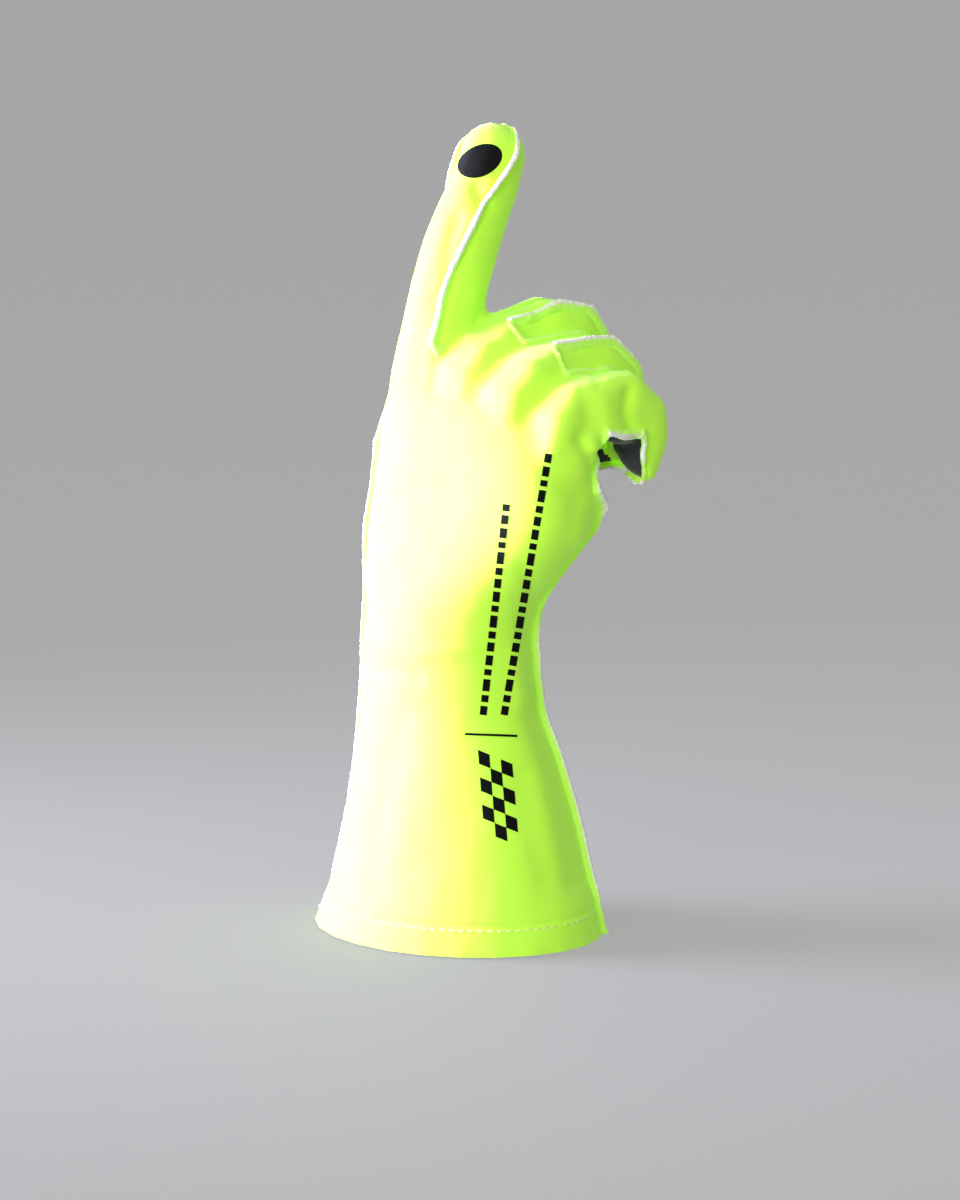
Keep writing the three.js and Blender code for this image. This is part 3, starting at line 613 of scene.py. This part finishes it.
def keep_outer_side(skin, opening):
    """Deletes the inner side of the cloth, and closes the small holes that this leaves."""
    mesh = skin.data
    edges = read_edges(mesh)
    seen = seen_from_outside(mesh, opening)
    for _ in range(SIGHT_ROUNDS):
        seen = (smoothed(seen[:, None], edges, 1, SIGHT_BLEND)[:, 0] > 0.5).astype(float)
    form = bmesh.new()
    form.from_mesh(mesh)
    form.verts.ensure_lookup_table()
    bmesh.ops.delete(form, geom=[v for v in form.verts if seen[v.index] < 0.5], context="VERTS")
    keep_largest_part(form)
    for _ in range(TORN_ROUNDS):
        torn = [v for v in form.verts if not v.link_faces or sum(e.is_boundary for e in v.link_edges) > 2]
        if not torn:
            break
        bmesh.ops.delete(form, geom=torn, context="VERTS")
    top = opening + RIM_EDGE
    closed = bmesh.ops.holes_fill(form, edges=open_edges_above(form, top), sides=0)["faces"]
    bmesh.ops.triangulate(form, faces=closed)
    bmesh.ops.triangle_fill(
        form, edges=open_edges_above(form, top), use_beauty=True, use_dissolve=False)
    bmesh.ops.recalc_face_normals(form, faces=form.faces)
    form.to_mesh(mesh)
    form.free()
    mesh.update()


def keep_largest_part(form):
    """Deletes all but the part of the mesh with the most points."""
    form.verts.index_update()
    reached = np.zeros(len(form.verts), bool)
    parts = []
    for start in form.verts:
        if reached[start.index]:
            continue
        part, waiting = [], [start]
        reached[start.index] = True
        while waiting:
            vert = waiting.pop()
            part.append(vert)
            for link in vert.link_edges:
                other = link.other_vert(vert)
                if not reached[other.index]:
                    reached[other.index] = True
                    waiting.append(other)
        parts.append(part)
    parts.sort(key=len, reverse=True)
    spare = [v for part in parts[1:] for v in part]
    bmesh.ops.delete(form, geom=spare, context="VERTS")


def bell(value, middle, width):
    """1 at the middle, falling off smoothly to both sides."""
    return np.exp(-(((value - middle) / width) ** 2))


def photo_places(points):
    """Where each point is in the photograph, in its pixels."""
    away = points - np.array(EYE)
    scale = VIEW_DISTANCE / (VIEW_MM_PER_PIXEL * MM) / -(away @ np.array(TO_CAMERA))
    across = away @ np.array(VIEW_RIGHT) * scale + IMAGE_WIDTH / 2
    down = IMAGE_HEIGHT / 2 - away @ np.array(VIEW_UP) * scale
    return np.stack([across, down], axis=1)


def away_from_line(places, line):
    """How far each place is from a line through several places."""
    away = np.full(len(places), np.inf)
    for first, second in zip(line, line[1:]):
        a, b = np.array(first, float), np.array(second, float)
        share = np.clip((places - a) @ (b - a) / ((b - a) @ (b - a)), 0.0, 1.0)
        away = np.minimum(away, np.linalg.norm(places - (a + share[:, None] * (b - a)), axis=1))
    return away


# Folds and swells of the cloth that faces the camera: the line of each in the photograph's pixels,
# its width there, and how far the cloth stands out along it, in millimetres.
FOLDS = [
    ([(477, 188), (483, 203)], 8, -1.3),
    ([(456, 218), (449, 250), (446, 292)], 8, -0.9),
    ([(436, 300), (438, 330)], 8, -0.5),
    ([(486, 328), (494, 344)], 14, -0.9),
    ([(506, 362), (515, 378)], 14, -0.4),
    ([(528, 303), (541, 322)], 8, -0.8),
    ([(556, 388), (566, 400)], 14, -0.3),
    ([(596, 372), (600, 384)], 8, -0.8),
    ([(584, 392), (590, 420), (583, 440)], 10, -1.2),
    ([(605, 400), (610, 425)], 9, 0.9),
    ([(629, 392), (626, 412), (632, 432)], 6, -1.8),
    ([(583, 440), (592, 462), (606, 484)], 8, -1.5),
    ([(598, 448), (616, 446)], 6, 0.9),
    ([(560, 470), (578, 490), (584, 512)], 16, -0.9),
    ([(590, 500), (578, 540)], 8, 0.7),
    ([(524, 572), (538, 600)], 9, -1.0),
    ([(515, 598), (536, 603)], 6, -0.4),
    ([(538, 610), (537, 645)], 6, -1.0),
    ([(526, 622), (532, 660), (545, 700)], 10, -1.1),
    ([(513, 655), (520, 700)], 8, 0.5),
    ([(538, 716), (556, 770), (566, 812), (578, 880)], 13, -1.9),
    ([(522, 780), (534, 840), (548, 880)], 13, -0.8),
    ([(400, 720), (380, 820), (372, 880)], 14, -0.7),
    ([(362, 640), (420, 655), (470, 650)], 9, 0.6),
    ([(362, 668), (415, 676)], 9, -0.8),
    ([(368, 610), (400, 622)], 9, -0.6),
]


# A fold fades out where the cosine between the cloth's normal and the way to the camera falls below
# this. Everywhere the cloth waves a little, by a depth over a length, and a groove runs along the top of
# the hem: its depth, how far above the hem it lies, and its width. All these are in millimetres.
FOLD_FACING = 0.25
CLOTH_WAVES = [(0.35, 17.0), (0.10, 6.0)]
HEM_GROOVE, HEM_GROOVE_ABOVE, HEM_GROOVE_WIDTH = 0.5, 0.5, 0.9


def fold_depth(points, normals):
    """How far the cloth stands in or out of its smooth form at each point, in millimetres."""
    places = photo_places(points)
    facing = np.clip(normals @ np.array(TO_CAMERA) / FOLD_FACING, 0.0, 1.0)
    depth = np.zeros(len(points))
    for line, width, height in FOLDS:
        depth += height * bell(away_from_line(places, line), 0.0, width) * facing
    spots = points / MM
    for i, spot in enumerate(spots):
        depth[i] += sum(deep * noise.noise(Vector(spot) / long) for deep, long in CLOTH_WAVES)
    hem = sizes().hem_height / MM
    depth -= HEM_GROOVE * bell(spots[:, 2], hem + HEM_GROOVE_ABOVE, HEM_GROOVE_WIDTH)
    return depth


# Where the cloth is drawn a little aside: the place in the photograph, how far across and up it moves
# there, in millimetres, how far this reaches across and down, in pixels, and from which width of the
# hand on, in millimetres, with a soft start over WARP_BLEND.
WARPS = [
    ((630, 424), (0.0, -5.5), (30, 22), 26.0),
    ((588, 462), (5.5, 1.0), (19, 22), 26.0),
    ((628, 482), (6.0, 0.5), (20, 22), 26.0),
    ((362, 446), (3.0, 0.0), (40, 34), -99.0),
]
WARP_BLEND = 5.0


def warped(points):
    """The points with the little finger's crook and the thumb side drawn to their places."""
    places = photo_places(points)
    moved = points.copy()
    for place, (across, up), (wide, tall), side in WARPS:
        near = np.clip((points[:, 0] / MM - side) / WARP_BLEND, 0.0, 1.0)
        share = near * bell(places[:, 0], place[0], wide) * bell(places[:, 1], place[1], tall)
        way = np.array(VIEW_RIGHT) * across + np.array(VIEW_UP) * up
        moved += share[:, None] * way * MM
    return moved


# The index finger's end is turned about its own line: heights in millimetres, turns in degrees.
TIP_TURN_HEIGHTS = [221.0, 234.0, 251.0, 262.0, 270.0]
TIP_TURNS = [0.0, 8.0, 17.0, 34.0, 44.0]
INDEX_NODES = ("back_panel", "palm_panel", "gusset_index_middle")
INDEX_FROM, INDEX_TO, INDEX_STEP = 224.0, 272.0, 6.0


def index_middles():
    """The middle of the index finger at several heights, from its solids."""
    points = np.concatenate([read_points(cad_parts[node].data) for node in INDEX_NODES]) / MM
    heights = np.arange(INDEX_FROM, INDEX_TO, INDEX_STEP)
    middles = []
    for height in heights:
        near = points[(np.abs(points[:, 2] - height) < INDEX_STEP)]
        middles.append((near.min(axis=0) + near.max(axis=0)) / 2)
    return heights, np.array(middles)


def with_turned_tip(points, heights, middles):
    """The points with the index finger's end turned about its own line."""
    up = points[:, 2] / MM
    turn = np.radians(np.interp(up, TIP_TURN_HEIGHTS, TIP_TURNS))
    x = points[:, 0] - np.interp(up, heights, middles[:, 0]) * MM
    y = points[:, 1] - np.interp(up, heights, middles[:, 1]) * MM
    turned = points.copy()
    turned[:, 0] += x * (np.cos(turn) - 1) - y * np.sin(turn)
    turned[:, 1] += x * np.sin(turn) + y * (np.cos(turn) - 1)
    return turned


# The skin's smoothing: its strength, where it starts above the rim, and the height from which the
# fingers' smaller forms are smoothed by only a share. Each start is soft over its blend. Millimetres.
SMOOTHING = 0.5
HOLD_UP_TO, HOLD_BLEND = 0.5, 3.0
FINGERS_FROM, FINGERS_BLEND = 145.0, 25.0
FINGER_SMOOTHING = 0.16


class GLOVE_OT_panels(bpy.types.Operator):
    """Sew the panels: one smooth skin over the solids, cut along the seams and given its thickness"""

    bl_idname = "glove.panels"
    bl_label = "Panels"

    def execute(self, context):
        skin = raw_skin()
        labels = nearest_panels(skin.data)
        write_points(skin.data, warped(with_turned_tip(read_points(skin.data), *index_middles())))
        before = skin.data.copy()
        before.name = "skin_before"
        edges = read_edges(skin.data)
        points = read_points(skin.data)
        hold = np.clip((points[:, 2:3] / MM - HOLD_UP_TO) / HOLD_BLEND, 0.0, 1.0)
        fingers = np.clip((points[:, 2:3] / MM - FINGERS_FROM) / FINGERS_BLEND, 0.0, 1.0)
        strength = SMOOTHING * hold * (1.0 - fingers * (1.0 - FINGER_SMOOTHING))
        points = smoothed(points, edges, sizes().skin_smoothing, strength)
        points[:, 2] = np.maximum(points[:, 2], 0.0)
        points[rim_points(skin.data), 2] = 0.0
        write_points(skin.data, points)
        normals = read_normals(skin.data)
        write_points(skin.data, points + normals * fold_depth(points, normals)[:, None] * MM * hold)
        after = skin.data.copy()
        after.name = "skin_after"
        for index, (node, name, finish) in enumerate(PANELS):
            piece = cut_panel(skin, labels == index, name)
            apply_modifier(
                piece, "SOLIDIFY", thickness=sizes().cloth, offset=-1.0, use_even_offset=False)
            finish_piece(piece, finish, [node])
        bpy.data.objects.remove(skin)
        return {"FINISHED"}


def rim_points(mesh):
    """The numbers of the points on the skin's open edge."""
    form = bmesh.new()
    form.from_mesh(mesh)
    found = [v.index for v in form.verts if v.is_boundary and v.co.z < RIM_REACH]
    form.free()
    return found


def nearest_panels(mesh):
    """For each face of the skin, the number of the panel whose solid is nearest."""
    trees = [tree_of(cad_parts[node].data) for node, _, _ in PANELS]
    labels = np.empty(len(mesh.polygons), int)
    for i, face in enumerate(mesh.polygons):
        labels[i] = min(range(len(trees)), key=lambda k: trees[k].find_nearest(face.center)[3])
    return labels


def cut_panel(skin, mask, name):
    """A new piece of the skin's faces where the mask is true."""
    form = bmesh.new()
    form.from_mesh(skin.data)
    form.faces.ensure_lookup_table()
    spare = [face for face, stays in zip(form.faces, mask) if not stays]
    bmesh.ops.delete(form, geom=spare, context="FACES")
    mesh = bpy.data.meshes.new(name)
    form.to_mesh(mesh)
    form.free()
    return new_object(name, mesh)


# Above this height, in millimetres, the seams lie lower, over the end of the index finger: softly over
# the blend, and nearer to the skin by the share.
LOW_SEAM_FROM, LOW_SEAM_BLEND, LOW_SEAM_SHARE = 266.0, 7.0, 0.6

# The seams' own smoothing, how many points of the skin carry each point of a seam along, and the raw
# edge's unevenness: each noise's strength and its pitch to a millimetre, and how soon it sets in.
SEAM_SMOOTHING_ROUNDS, SEAM_SMOOTHING = 5, 0.5
SEAM_CARRIERS = 6
FUZZ_NOISES = [(1.0, 1.1), (0.6, 2.3)]
FUZZ_ONSET = 1.6


def share_above(value, start, blend):
    return min(1.0, max(0.0, (value - start) / blend))


def seam_rises(points, surface):
    """Each point's height over the skin, as a share of the seams' height, with the tip's seams lowered."""
    rises = np.empty(len(points), np.float32)
    for i, point in enumerate(points):
        place, normal, _, away = surface.find_nearest(Vector(point))
        side = 1.0 if (Vector(point) - place).dot(normal) > 0 else -1.0
        rises[i] = side * away / sizes().seam_height
        low = share_above(point[2] / MM, LOW_SEAM_FROM, LOW_SEAM_BLEND)
        if side > 0 and low > 0:
            points[i] = point + (np.array(place) - point) * LOW_SEAM_SHARE * low
    return rises


def roughened(points, normals, rises):
    """The points with the raw edge's unevenness, stronger towards its top."""
    for i, point in enumerate(points):
        spot = Vector(point) / MM
        rough = sum(strong * noise.noise(spot * pitch) for strong, pitch in FUZZ_NOISES)
        strength = min(1.0, max(0.0, rises[i] * FUZZ_ONSET))
        points[i] = point + normals[i] * rough * strength * sizes().fuzz
    return points


class GLOVE_OT_seams(bpy.types.Operator):
    """Raise the seams: two cloth edges pressed together, ragged and pale along the top"""

    bl_idname = "glove.seams"
    bl_label = "Seams"

    def execute(self, context):
        before, after = bpy.data.meshes["skin_before"], bpy.data.meshes["skin_after"]
        old, new = read_points(before), read_points(after)
        finder = KDTree(len(old))
        for i, point in enumerate(old):
            finder.insert(point, i)
        finder.balance()
        surface = tree_of(after)
        shift = new - old
        heights, middles = index_middles()
        for node in SEAMS:
            piece = new_object(node + "_edge", merged_copy([node], node + "_edge"))
            apply_modifier(
                piece, "REMESH", mode="VOXEL", voxel_size=sizes().seam_mesh, use_smooth_shade=True)
            mesh = piece.data
            points = smoothed(read_points(mesh), read_edges(mesh), SEAM_SMOOTHING_ROUNDS, SEAM_SMOOTHING)
            write_points(mesh, points)
            points = points - read_normals(mesh) * sizes().seam_thinning
            points = warped(with_turned_tip(points, heights, middles))
            for i, point in enumerate(points):
                near = [index for _, index, _ in finder.find_n(point, SEAM_CARRIERS)]
                points[i] = point + shift[near].mean(axis=0)
            write_points(mesh, points)
            rises = seam_rises(points, surface)
            write_points(mesh, points)
            points = roughened(points, read_normals(mesh), rises)
            points[:, 2] = np.maximum(points[:, 2], 0.0)
            write_points(mesh, points)
            attribute = mesh.attributes.new("rise", "FLOAT", "POINT")
            attribute.data.foreach_set("value", rises)
            finish_piece(piece, "raw_edge", [node])
        return {"FINISHED"}


def on_photo(px, py):
    """The direction from the eye through a place in the photograph, in its pixels."""
    across = (px - IMAGE_WIDTH / 2) * VIEW_MM_PER_PIXEL * MM
    up = (IMAGE_HEIGHT / 2 - py) * VIEW_MM_PER_PIXEL * MM
    return (VIEW_TARGET + VIEW_RIGHT * across + VIEW_UP * up - EYE).normalized()


# The hem's stitches: how many places round the hem are looked at, from how far outside, how far below
# the fold's top they run, how flat they are and how far they stand off the cloth.
HEM_PLACES = 1440
HEM_OUTSIDE = 0.12
STITCHES_BELOW = 1.2 * MM
STITCH_FLATNESS = 0.8
STITCH_RISE = 0.05 * MM


def hem_places(surface):
    """Places and normals of the cloth on a level line round the hem."""
    height = Vector((0, 0, sizes().hem_height - STITCHES_BELOW))
    places = []
    for step in range(HEM_PLACES):
        turn = math.tau * step / HEM_PLACES
        way = Vector((math.cos(turn), math.sin(turn), 0.0))
        place, normal, _, _ = surface.ray_cast(way * HEM_OUTSIDE + height, -way)
        if place is not None:
            places.append((place, normal))
    return places


class GLOVE_OT_stitches(bpy.types.Operator):
    """Stitch the hem: a row of short stitches round the top of the fold"""

    bl_idname = "glove.stitches"
    bl_label = "Hem stitches"

    def execute(self, context):
        places = hem_places(tree_of(bpy.data.meshes["skin_after"]))
        if not places:
            raise RuntimeError("hem_stitches: no cloth at the hem")
        chosen, walked = [], 0.0
        for first, second in zip(places, places[1:] + places[:1]):
            walked += (second[0] - first[0]).length
            if walked >= sizes().stitch_pitch:
                walked -= sizes().stitch_pitch
                chosen.append((second[0], second[1], (second[0] - first[0]).normalized()))
        form = bmesh.new()
        half_length, half_width = sizes().stitch_length / 2, sizes().stitch_width / 2
        for place, normal, along in chosen:
            made = bmesh.ops.create_icosphere(form, subdivisions=2, radius=1.0)
            across = normal.cross(along).normalized()
            for vert in made["verts"]:
                a, b, c = vert.co
                lift = normal * (c * half_width * STITCH_FLATNESS + STITCH_RISE)
                vert.co = place + along * (a * half_length) + across * (b * half_width) + lift
        mesh = bpy.data.meshes.new("hem_stitches")
        form.to_mesh(mesh)
        form.free()
        finish_piece(new_object("hem_stitches", mesh), "thread")
        return {"FINISHED"}


# Places and sizes of the prints, in the photograph's pixels. The block's corners go round from its top
# left one, and its cells and the pad's rows are cut finer, so that they follow the cloth.
PRINT_ROWS = [((483, 715), (507, 500)), ((504, 715), (550, 447))]
PRINT_ROW_WIDTH = 7.0
DASH_LENGTHS = (9, 7, 12, 6, 10)
DASH_GAP = 4
SHORTEST_DASH = 6
PRINT_RULE = ((465, 734), (517, 736))
PRINT_RULE_WIDTH = 2.2
BAR_STEP = 2.5
BAR_PLACES = (-1.0, -0.33, 0.33, 1.0)
PRINT_BLOCK = [(478, 750), (512, 764), (519, 846), (484, 832)]
BLOCK_COLUMNS, BLOCK_ROWS = 3, 6
CELL_STEPS = 3
TIP_PAD = (480, 161)
TIP_PAD_SIZE = (21, 17)
TIP_PAD_LEAN = 7
PAD_HALF_ROWS, PAD_HALF_COLUMNS = 12, 10
PAD_REACH = 0.995


def patch(surface, name, strips):
    """Thin plates on the cloth, each made of rows of places in the photograph's pixels."""
    form = bmesh.new()
    rise = sizes().print_rise
    for rows in strips:
        grid = []
        for row in rows:
            line = []
            for px, py in row:
                place, normal, _, _ = surface.ray_cast(EYE, on_photo(px, py))
                if place is None:
                    raise RuntimeError(f"{name}: no cloth behind {px:.0f},{py:.0f}")
                line.append((form.verts.new(place + normal * rise), form.verts.new(place - normal * rise)))
            grid.append(line)
        for first, second in zip(grid, grid[1:]):
            for a, b, c, d in zip(first, first[1:], second[1:], second):
                form.faces.new((a[0], b[0], c[0], d[0]))
                form.faces.new((d[1], c[1], b[1], a[1]))
        rim = grid[0] + [line[-1] for line in grid[1:]]
        rim += grid[-1][-2::-1] + [line[0] for line in grid[-2:0:-1]]
        for a, b in zip(rim, rim[1:] + rim[:1]):
            form.faces.new((b[0], a[0], a[1], b[1]))
    bmesh.ops.recalc_face_normals(form, faces=form.faces)
    mesh = bpy.data.meshes.new(name)
    form.to_mesh(mesh)
    form.free()
    finish_piece(new_object(name, mesh), "ink")


def bar(first, second, width):
    """Rows of places over a straight bar between two places."""
    a, b = Vector(first), Vector(second)
    along = b - a
    side = Vector((-along.y, along.x)).normalized() * (width / 2)
    count = max(2, int(along.length / BAR_STEP) + 1)
    middles = [a + along * (i / count) for i in range(count + 1)]
    return [[tuple(middle + side * t) for t in BAR_PLACES] for middle in middles]


def dashes(first, second):
    """Bars of several lengths in a row between two places."""
    a, b = Vector(first), Vector(second)
    whole = (b - a).length
    along = (b - a).normalized()
    bars, walked = [], 0.0
    while walked < whole - SHORTEST_DASH:
        size = min(DASH_LENGTHS[len(bars) % len(DASH_LENGTHS)], whole - walked)
        bars.append(bar(a + along * walked, a + along * (walked + size), PRINT_ROW_WIDTH))
        walked += size + DASH_GAP
    return bars


def chequer(column, row):
    """Rows of places over one cell of the chequered block."""
    corners = [Vector(corner) for corner in PRINT_BLOCK]
    rows = []
    for m in range(CELL_STEPS + 1):
        down = (row + m / CELL_STEPS) / BLOCK_ROWS
        places = []
        for n in range(CELL_STEPS + 1):
            across = (column + n / CELL_STEPS) / BLOCK_COLUMNS
            top, low = corners[0].lerp(corners[1], across), corners[3].lerp(corners[2], across)
            places.append(tuple(top.lerp(low, down)))
        rows.append(places)
    return rows


def leaning_oval():
    """Rows of places over the fingertip's pad."""
    rows = []
    for i in range(2 * PAD_HALF_ROWS + 1):
        down = math.sin(math.pi / 2 * (i / PAD_HALF_ROWS - 1)) * PAD_REACH
        half = math.sqrt(1 - down * down)
        shares = [(n / PAD_HALF_COLUMNS - 1) * half for n in range(2 * PAD_HALF_COLUMNS + 1)]
        rows.append([
            (TIP_PAD[0] + share * TIP_PAD_SIZE[0] - down * TIP_PAD_LEAN, TIP_PAD[1] + down * TIP_PAD_SIZE[1])
            for share in shares])
    return rows


class GLOVE_OT_prints(bpy.types.Operator):
    """Print the back: two rows of plain dashes, a rule, a chequered block and the fingertip's pad"""

    bl_idname = "glove.prints"
    bl_label = "Prints"

    def execute(self, context):
        surface = tree_of(bpy.data.meshes["skin_after"])
        patch(surface, "print_dashes", [strip for row in PRINT_ROWS for strip in dashes(*row)])
        patch(surface, "print_rule", [bar(*PRINT_RULE, PRINT_RULE_WIDTH)])
        patch(surface, "print_chequers", [
            chequer(i, j) for i in range(BLOCK_COLUMNS) for j in range(BLOCK_ROWS) if (i + j) % 2 == 0])
        patch(surface, "fingertip_pad", [leaning_oval()])
        return {"FINISHED"}


# The floor, in metres: where it starts in front and where it bends up behind, how far it bends and how
# far the backdrop goes on above that, where it is divided across, its rows, of which the first share
# lies flat and the next bends, and how far it lies under the glove.
FLOOR_FRONT, FLOOR_BACK, FLOOR_BEND, BACKDROP = -3.0, 1.6, 1.2, 2.5
FLOOR_SIDES = (-4.0, -1.0, 1.0, 4.0)
FLOOR_ROWS, FLAT_SHARE, BEND_SHARE = 40, 0.5, 0.3
FLOOR_CLEARANCE = 0.2 * MM

# Each light: its name, where it is and what it faces (towards the camera, to the right and up from the
# view's target), its size, watts, colour and spread in degrees.
LIGHTS = [
    ("key_light", (-0.08, -0.85, 0.18), (0, 0, 0), (0.6, 0.6), 15.0, (0.78, 0.76, 1.0), 75),
    ("front_light", (1.2, -0.65, 0.45), (0, 0, 0), (0.9, 0.9), 15.0, (1.0, 1.0, 1.0), 180),
    ("top_light", (-0.2, 0.1, 1.3), (0, 0, 0), (1.0, 1.0), 3.0, (1.0, 1.0, 1.0), 180),
]
WORLD_STRENGTH = 0.28
CAMERA_SEES_TO = 50.0


def floor_profile():
    """The floor's and the backdrop's line, from front to back: how far behind and how high."""
    line = []
    for i in range(FLOOR_ROWS + 1):
        t = i / FLOOR_ROWS
        if t < FLAT_SHARE:
            line.append((FLOOR_FRONT + t / FLAT_SHARE * (FLOOR_BACK - FLOOR_FRONT), 0.0))
            continue
        turn = min(1.0, (t - FLAT_SHARE) / BEND_SHARE) * math.pi / 2
        bent = FLAT_SHARE + BEND_SHARE
        rise = max(0.0, (t - bent) / (1 - bent)) * BACKDROP
        line.append((FLOOR_BACK + math.sin(turn) * FLOOR_BEND, (1 - math.cos(turn)) * FLOOR_BEND + rise))
    return line


def add_floor(behind):
    bpy.ops.mesh.primitive_plane_add(size=1.0, location=(0, 0, 0))
    floor = bpy.context.active_object
    floor.name = "studio_floor"
    lowest = SOLIDS_BOX[0][2] - FLOOR_CLEARANCE
    form = bmesh.new()
    rows = []
    for back, up in floor_profile():
        rows.append([
            form.verts.new(behind * back + VIEW_RIGHT * side + Vector((0, 0, up + lowest)))
            for side in FLOOR_SIDES])
    for first, second in zip(rows, rows[1:]):
        for corners in zip(first, first[1:], second[1:], second):
            form.faces.new(corners)
    form.to_mesh(floor.data)
    form.free()
    floor.data.materials.append(material_of("Studio Floor", floor_finish))
    for face in floor.data.polygons:
        face.use_smooth = True


def turn_to(thing, target):
    """Turns a light or the camera so that it looks at the target."""
    thing.rotation_euler = (target - thing.location).to_track_quat("-Z", "Y").to_euler()


def add_lights(behind):
    for name, place, aim, size, power, colour, spread in LIGHTS:
        data = bpy.data.lights.new(name, "AREA")
        data.shape = "RECTANGLE"
        data.size, data.size_y = size
        data.energy = power
        data.color = colour
        data.spread = math.radians(spread)
        lamp = new_object(name, data)
        lamp.location, target = (
            VIEW_TARGET - behind * ahead + VIEW_RIGHT * side + Vector((0, 0, up))
            for ahead, side, up in (place, aim))
        turn_to(lamp, target)


def add_camera(scene):
    data = bpy.data.cameras.new("Photo View")
    data.sensor_fit = "HORIZONTAL"
    data.sensor_width = SENSOR_WIDTH
    data.lens = VIEW_DISTANCE / (VIEW_MM_PER_PIXEL * MM * IMAGE_WIDTH) * SENSOR_WIDTH
    data.clip_end = CAMERA_SEES_TO
    camera = new_object("photo_view", data)
    camera.location = EYE
    turn_to(camera, VIEW_TARGET)
    scene.camera = camera


def light_world(scene):
    world = scene.world or bpy.data.worlds.new("Studio")
    scene.world = world
    world.use_nodes = True
    background = next(n for n in world.node_tree.nodes if n.type == "BACKGROUND")
    background.inputs["Color"].default_value = (1.0, 1.0, 1.0, 1.0)
    background.inputs["Strength"].default_value = WORLD_STRENGTH
    scene.view_settings.view_transform = "Standard"


class GLOVE_OT_stage(bpy.types.Operator):
    """Set the stage: the floor with its backdrop, the lights and the camera"""

    bl_idname = "glove.stage"
    bl_label = "Stage"

    def execute(self, context):
        bpy.ops.object.select_all(action="DESELECT")
        behind = -TO_CAMERA.copy()
        behind.z = 0
        behind.normalize()
        add_floor(behind)
        add_lights(behind)
        light_world(context.scene)
        add_camera(context.scene)
        return {"FINISHED"}


class GLOVE_PT_panel(bpy.types.Panel):
    """Sizes, colours and pieces of the glove"""

    bl_label = "Karting Glove"
    bl_idname = "GLOVE_PT_panel"
    bl_space_type = "VIEW_3D"
    bl_region_type = "UI"
    bl_category = "Karting Glove"

    def draw(self, context):
        for group in (context.scene.glove_sizes, context.scene.glove_colours):
            box = self.layout.box()
            for name in group.bl_rna.properties.keys():
                if name not in {"rna_type", "name"}:
                    box.prop(group, name)
        for operator in OPERATORS:
            self.layout.operator(operator.bl_idname)


OPERATORS = [GLOVE_OT_stage, GLOVE_OT_panels, GLOVE_OT_seams, GLOVE_OT_stitches, GLOVE_OT_prints]
CLASSES = [GloveSizes, GloveColours, *OPERATORS, GLOVE_PT_panel]


def register():
    for kind in CLASSES:
        bpy.utils.register_class(kind)
    bpy.types.Scene.glove_sizes = PointerProperty(type=GloveSizes)
    bpy.types.Scene.glove_colours = PointerProperty(type=GloveColours)


def unregister():
    del bpy.types.Scene.glove_colours
    del bpy.types.Scene.glove_sizes
    for kind in reversed(CLASSES):
        bpy.utils.unregister_class(kind)


def main():
    register()
    bpy.ops.object.select_all(action="DESELECT")
    bpy.ops.glove.stage()
    bpy.ops.glove.panels()
    bpy.ops.glove.seams()
    bpy.ops.glove.stitches()
    bpy.ops.glove.prints()
    for name in ("skin_before", "skin_after"):
        bpy.data.meshes.remove(bpy.data.meshes[name])


if __name__ == "__main__":
    main()
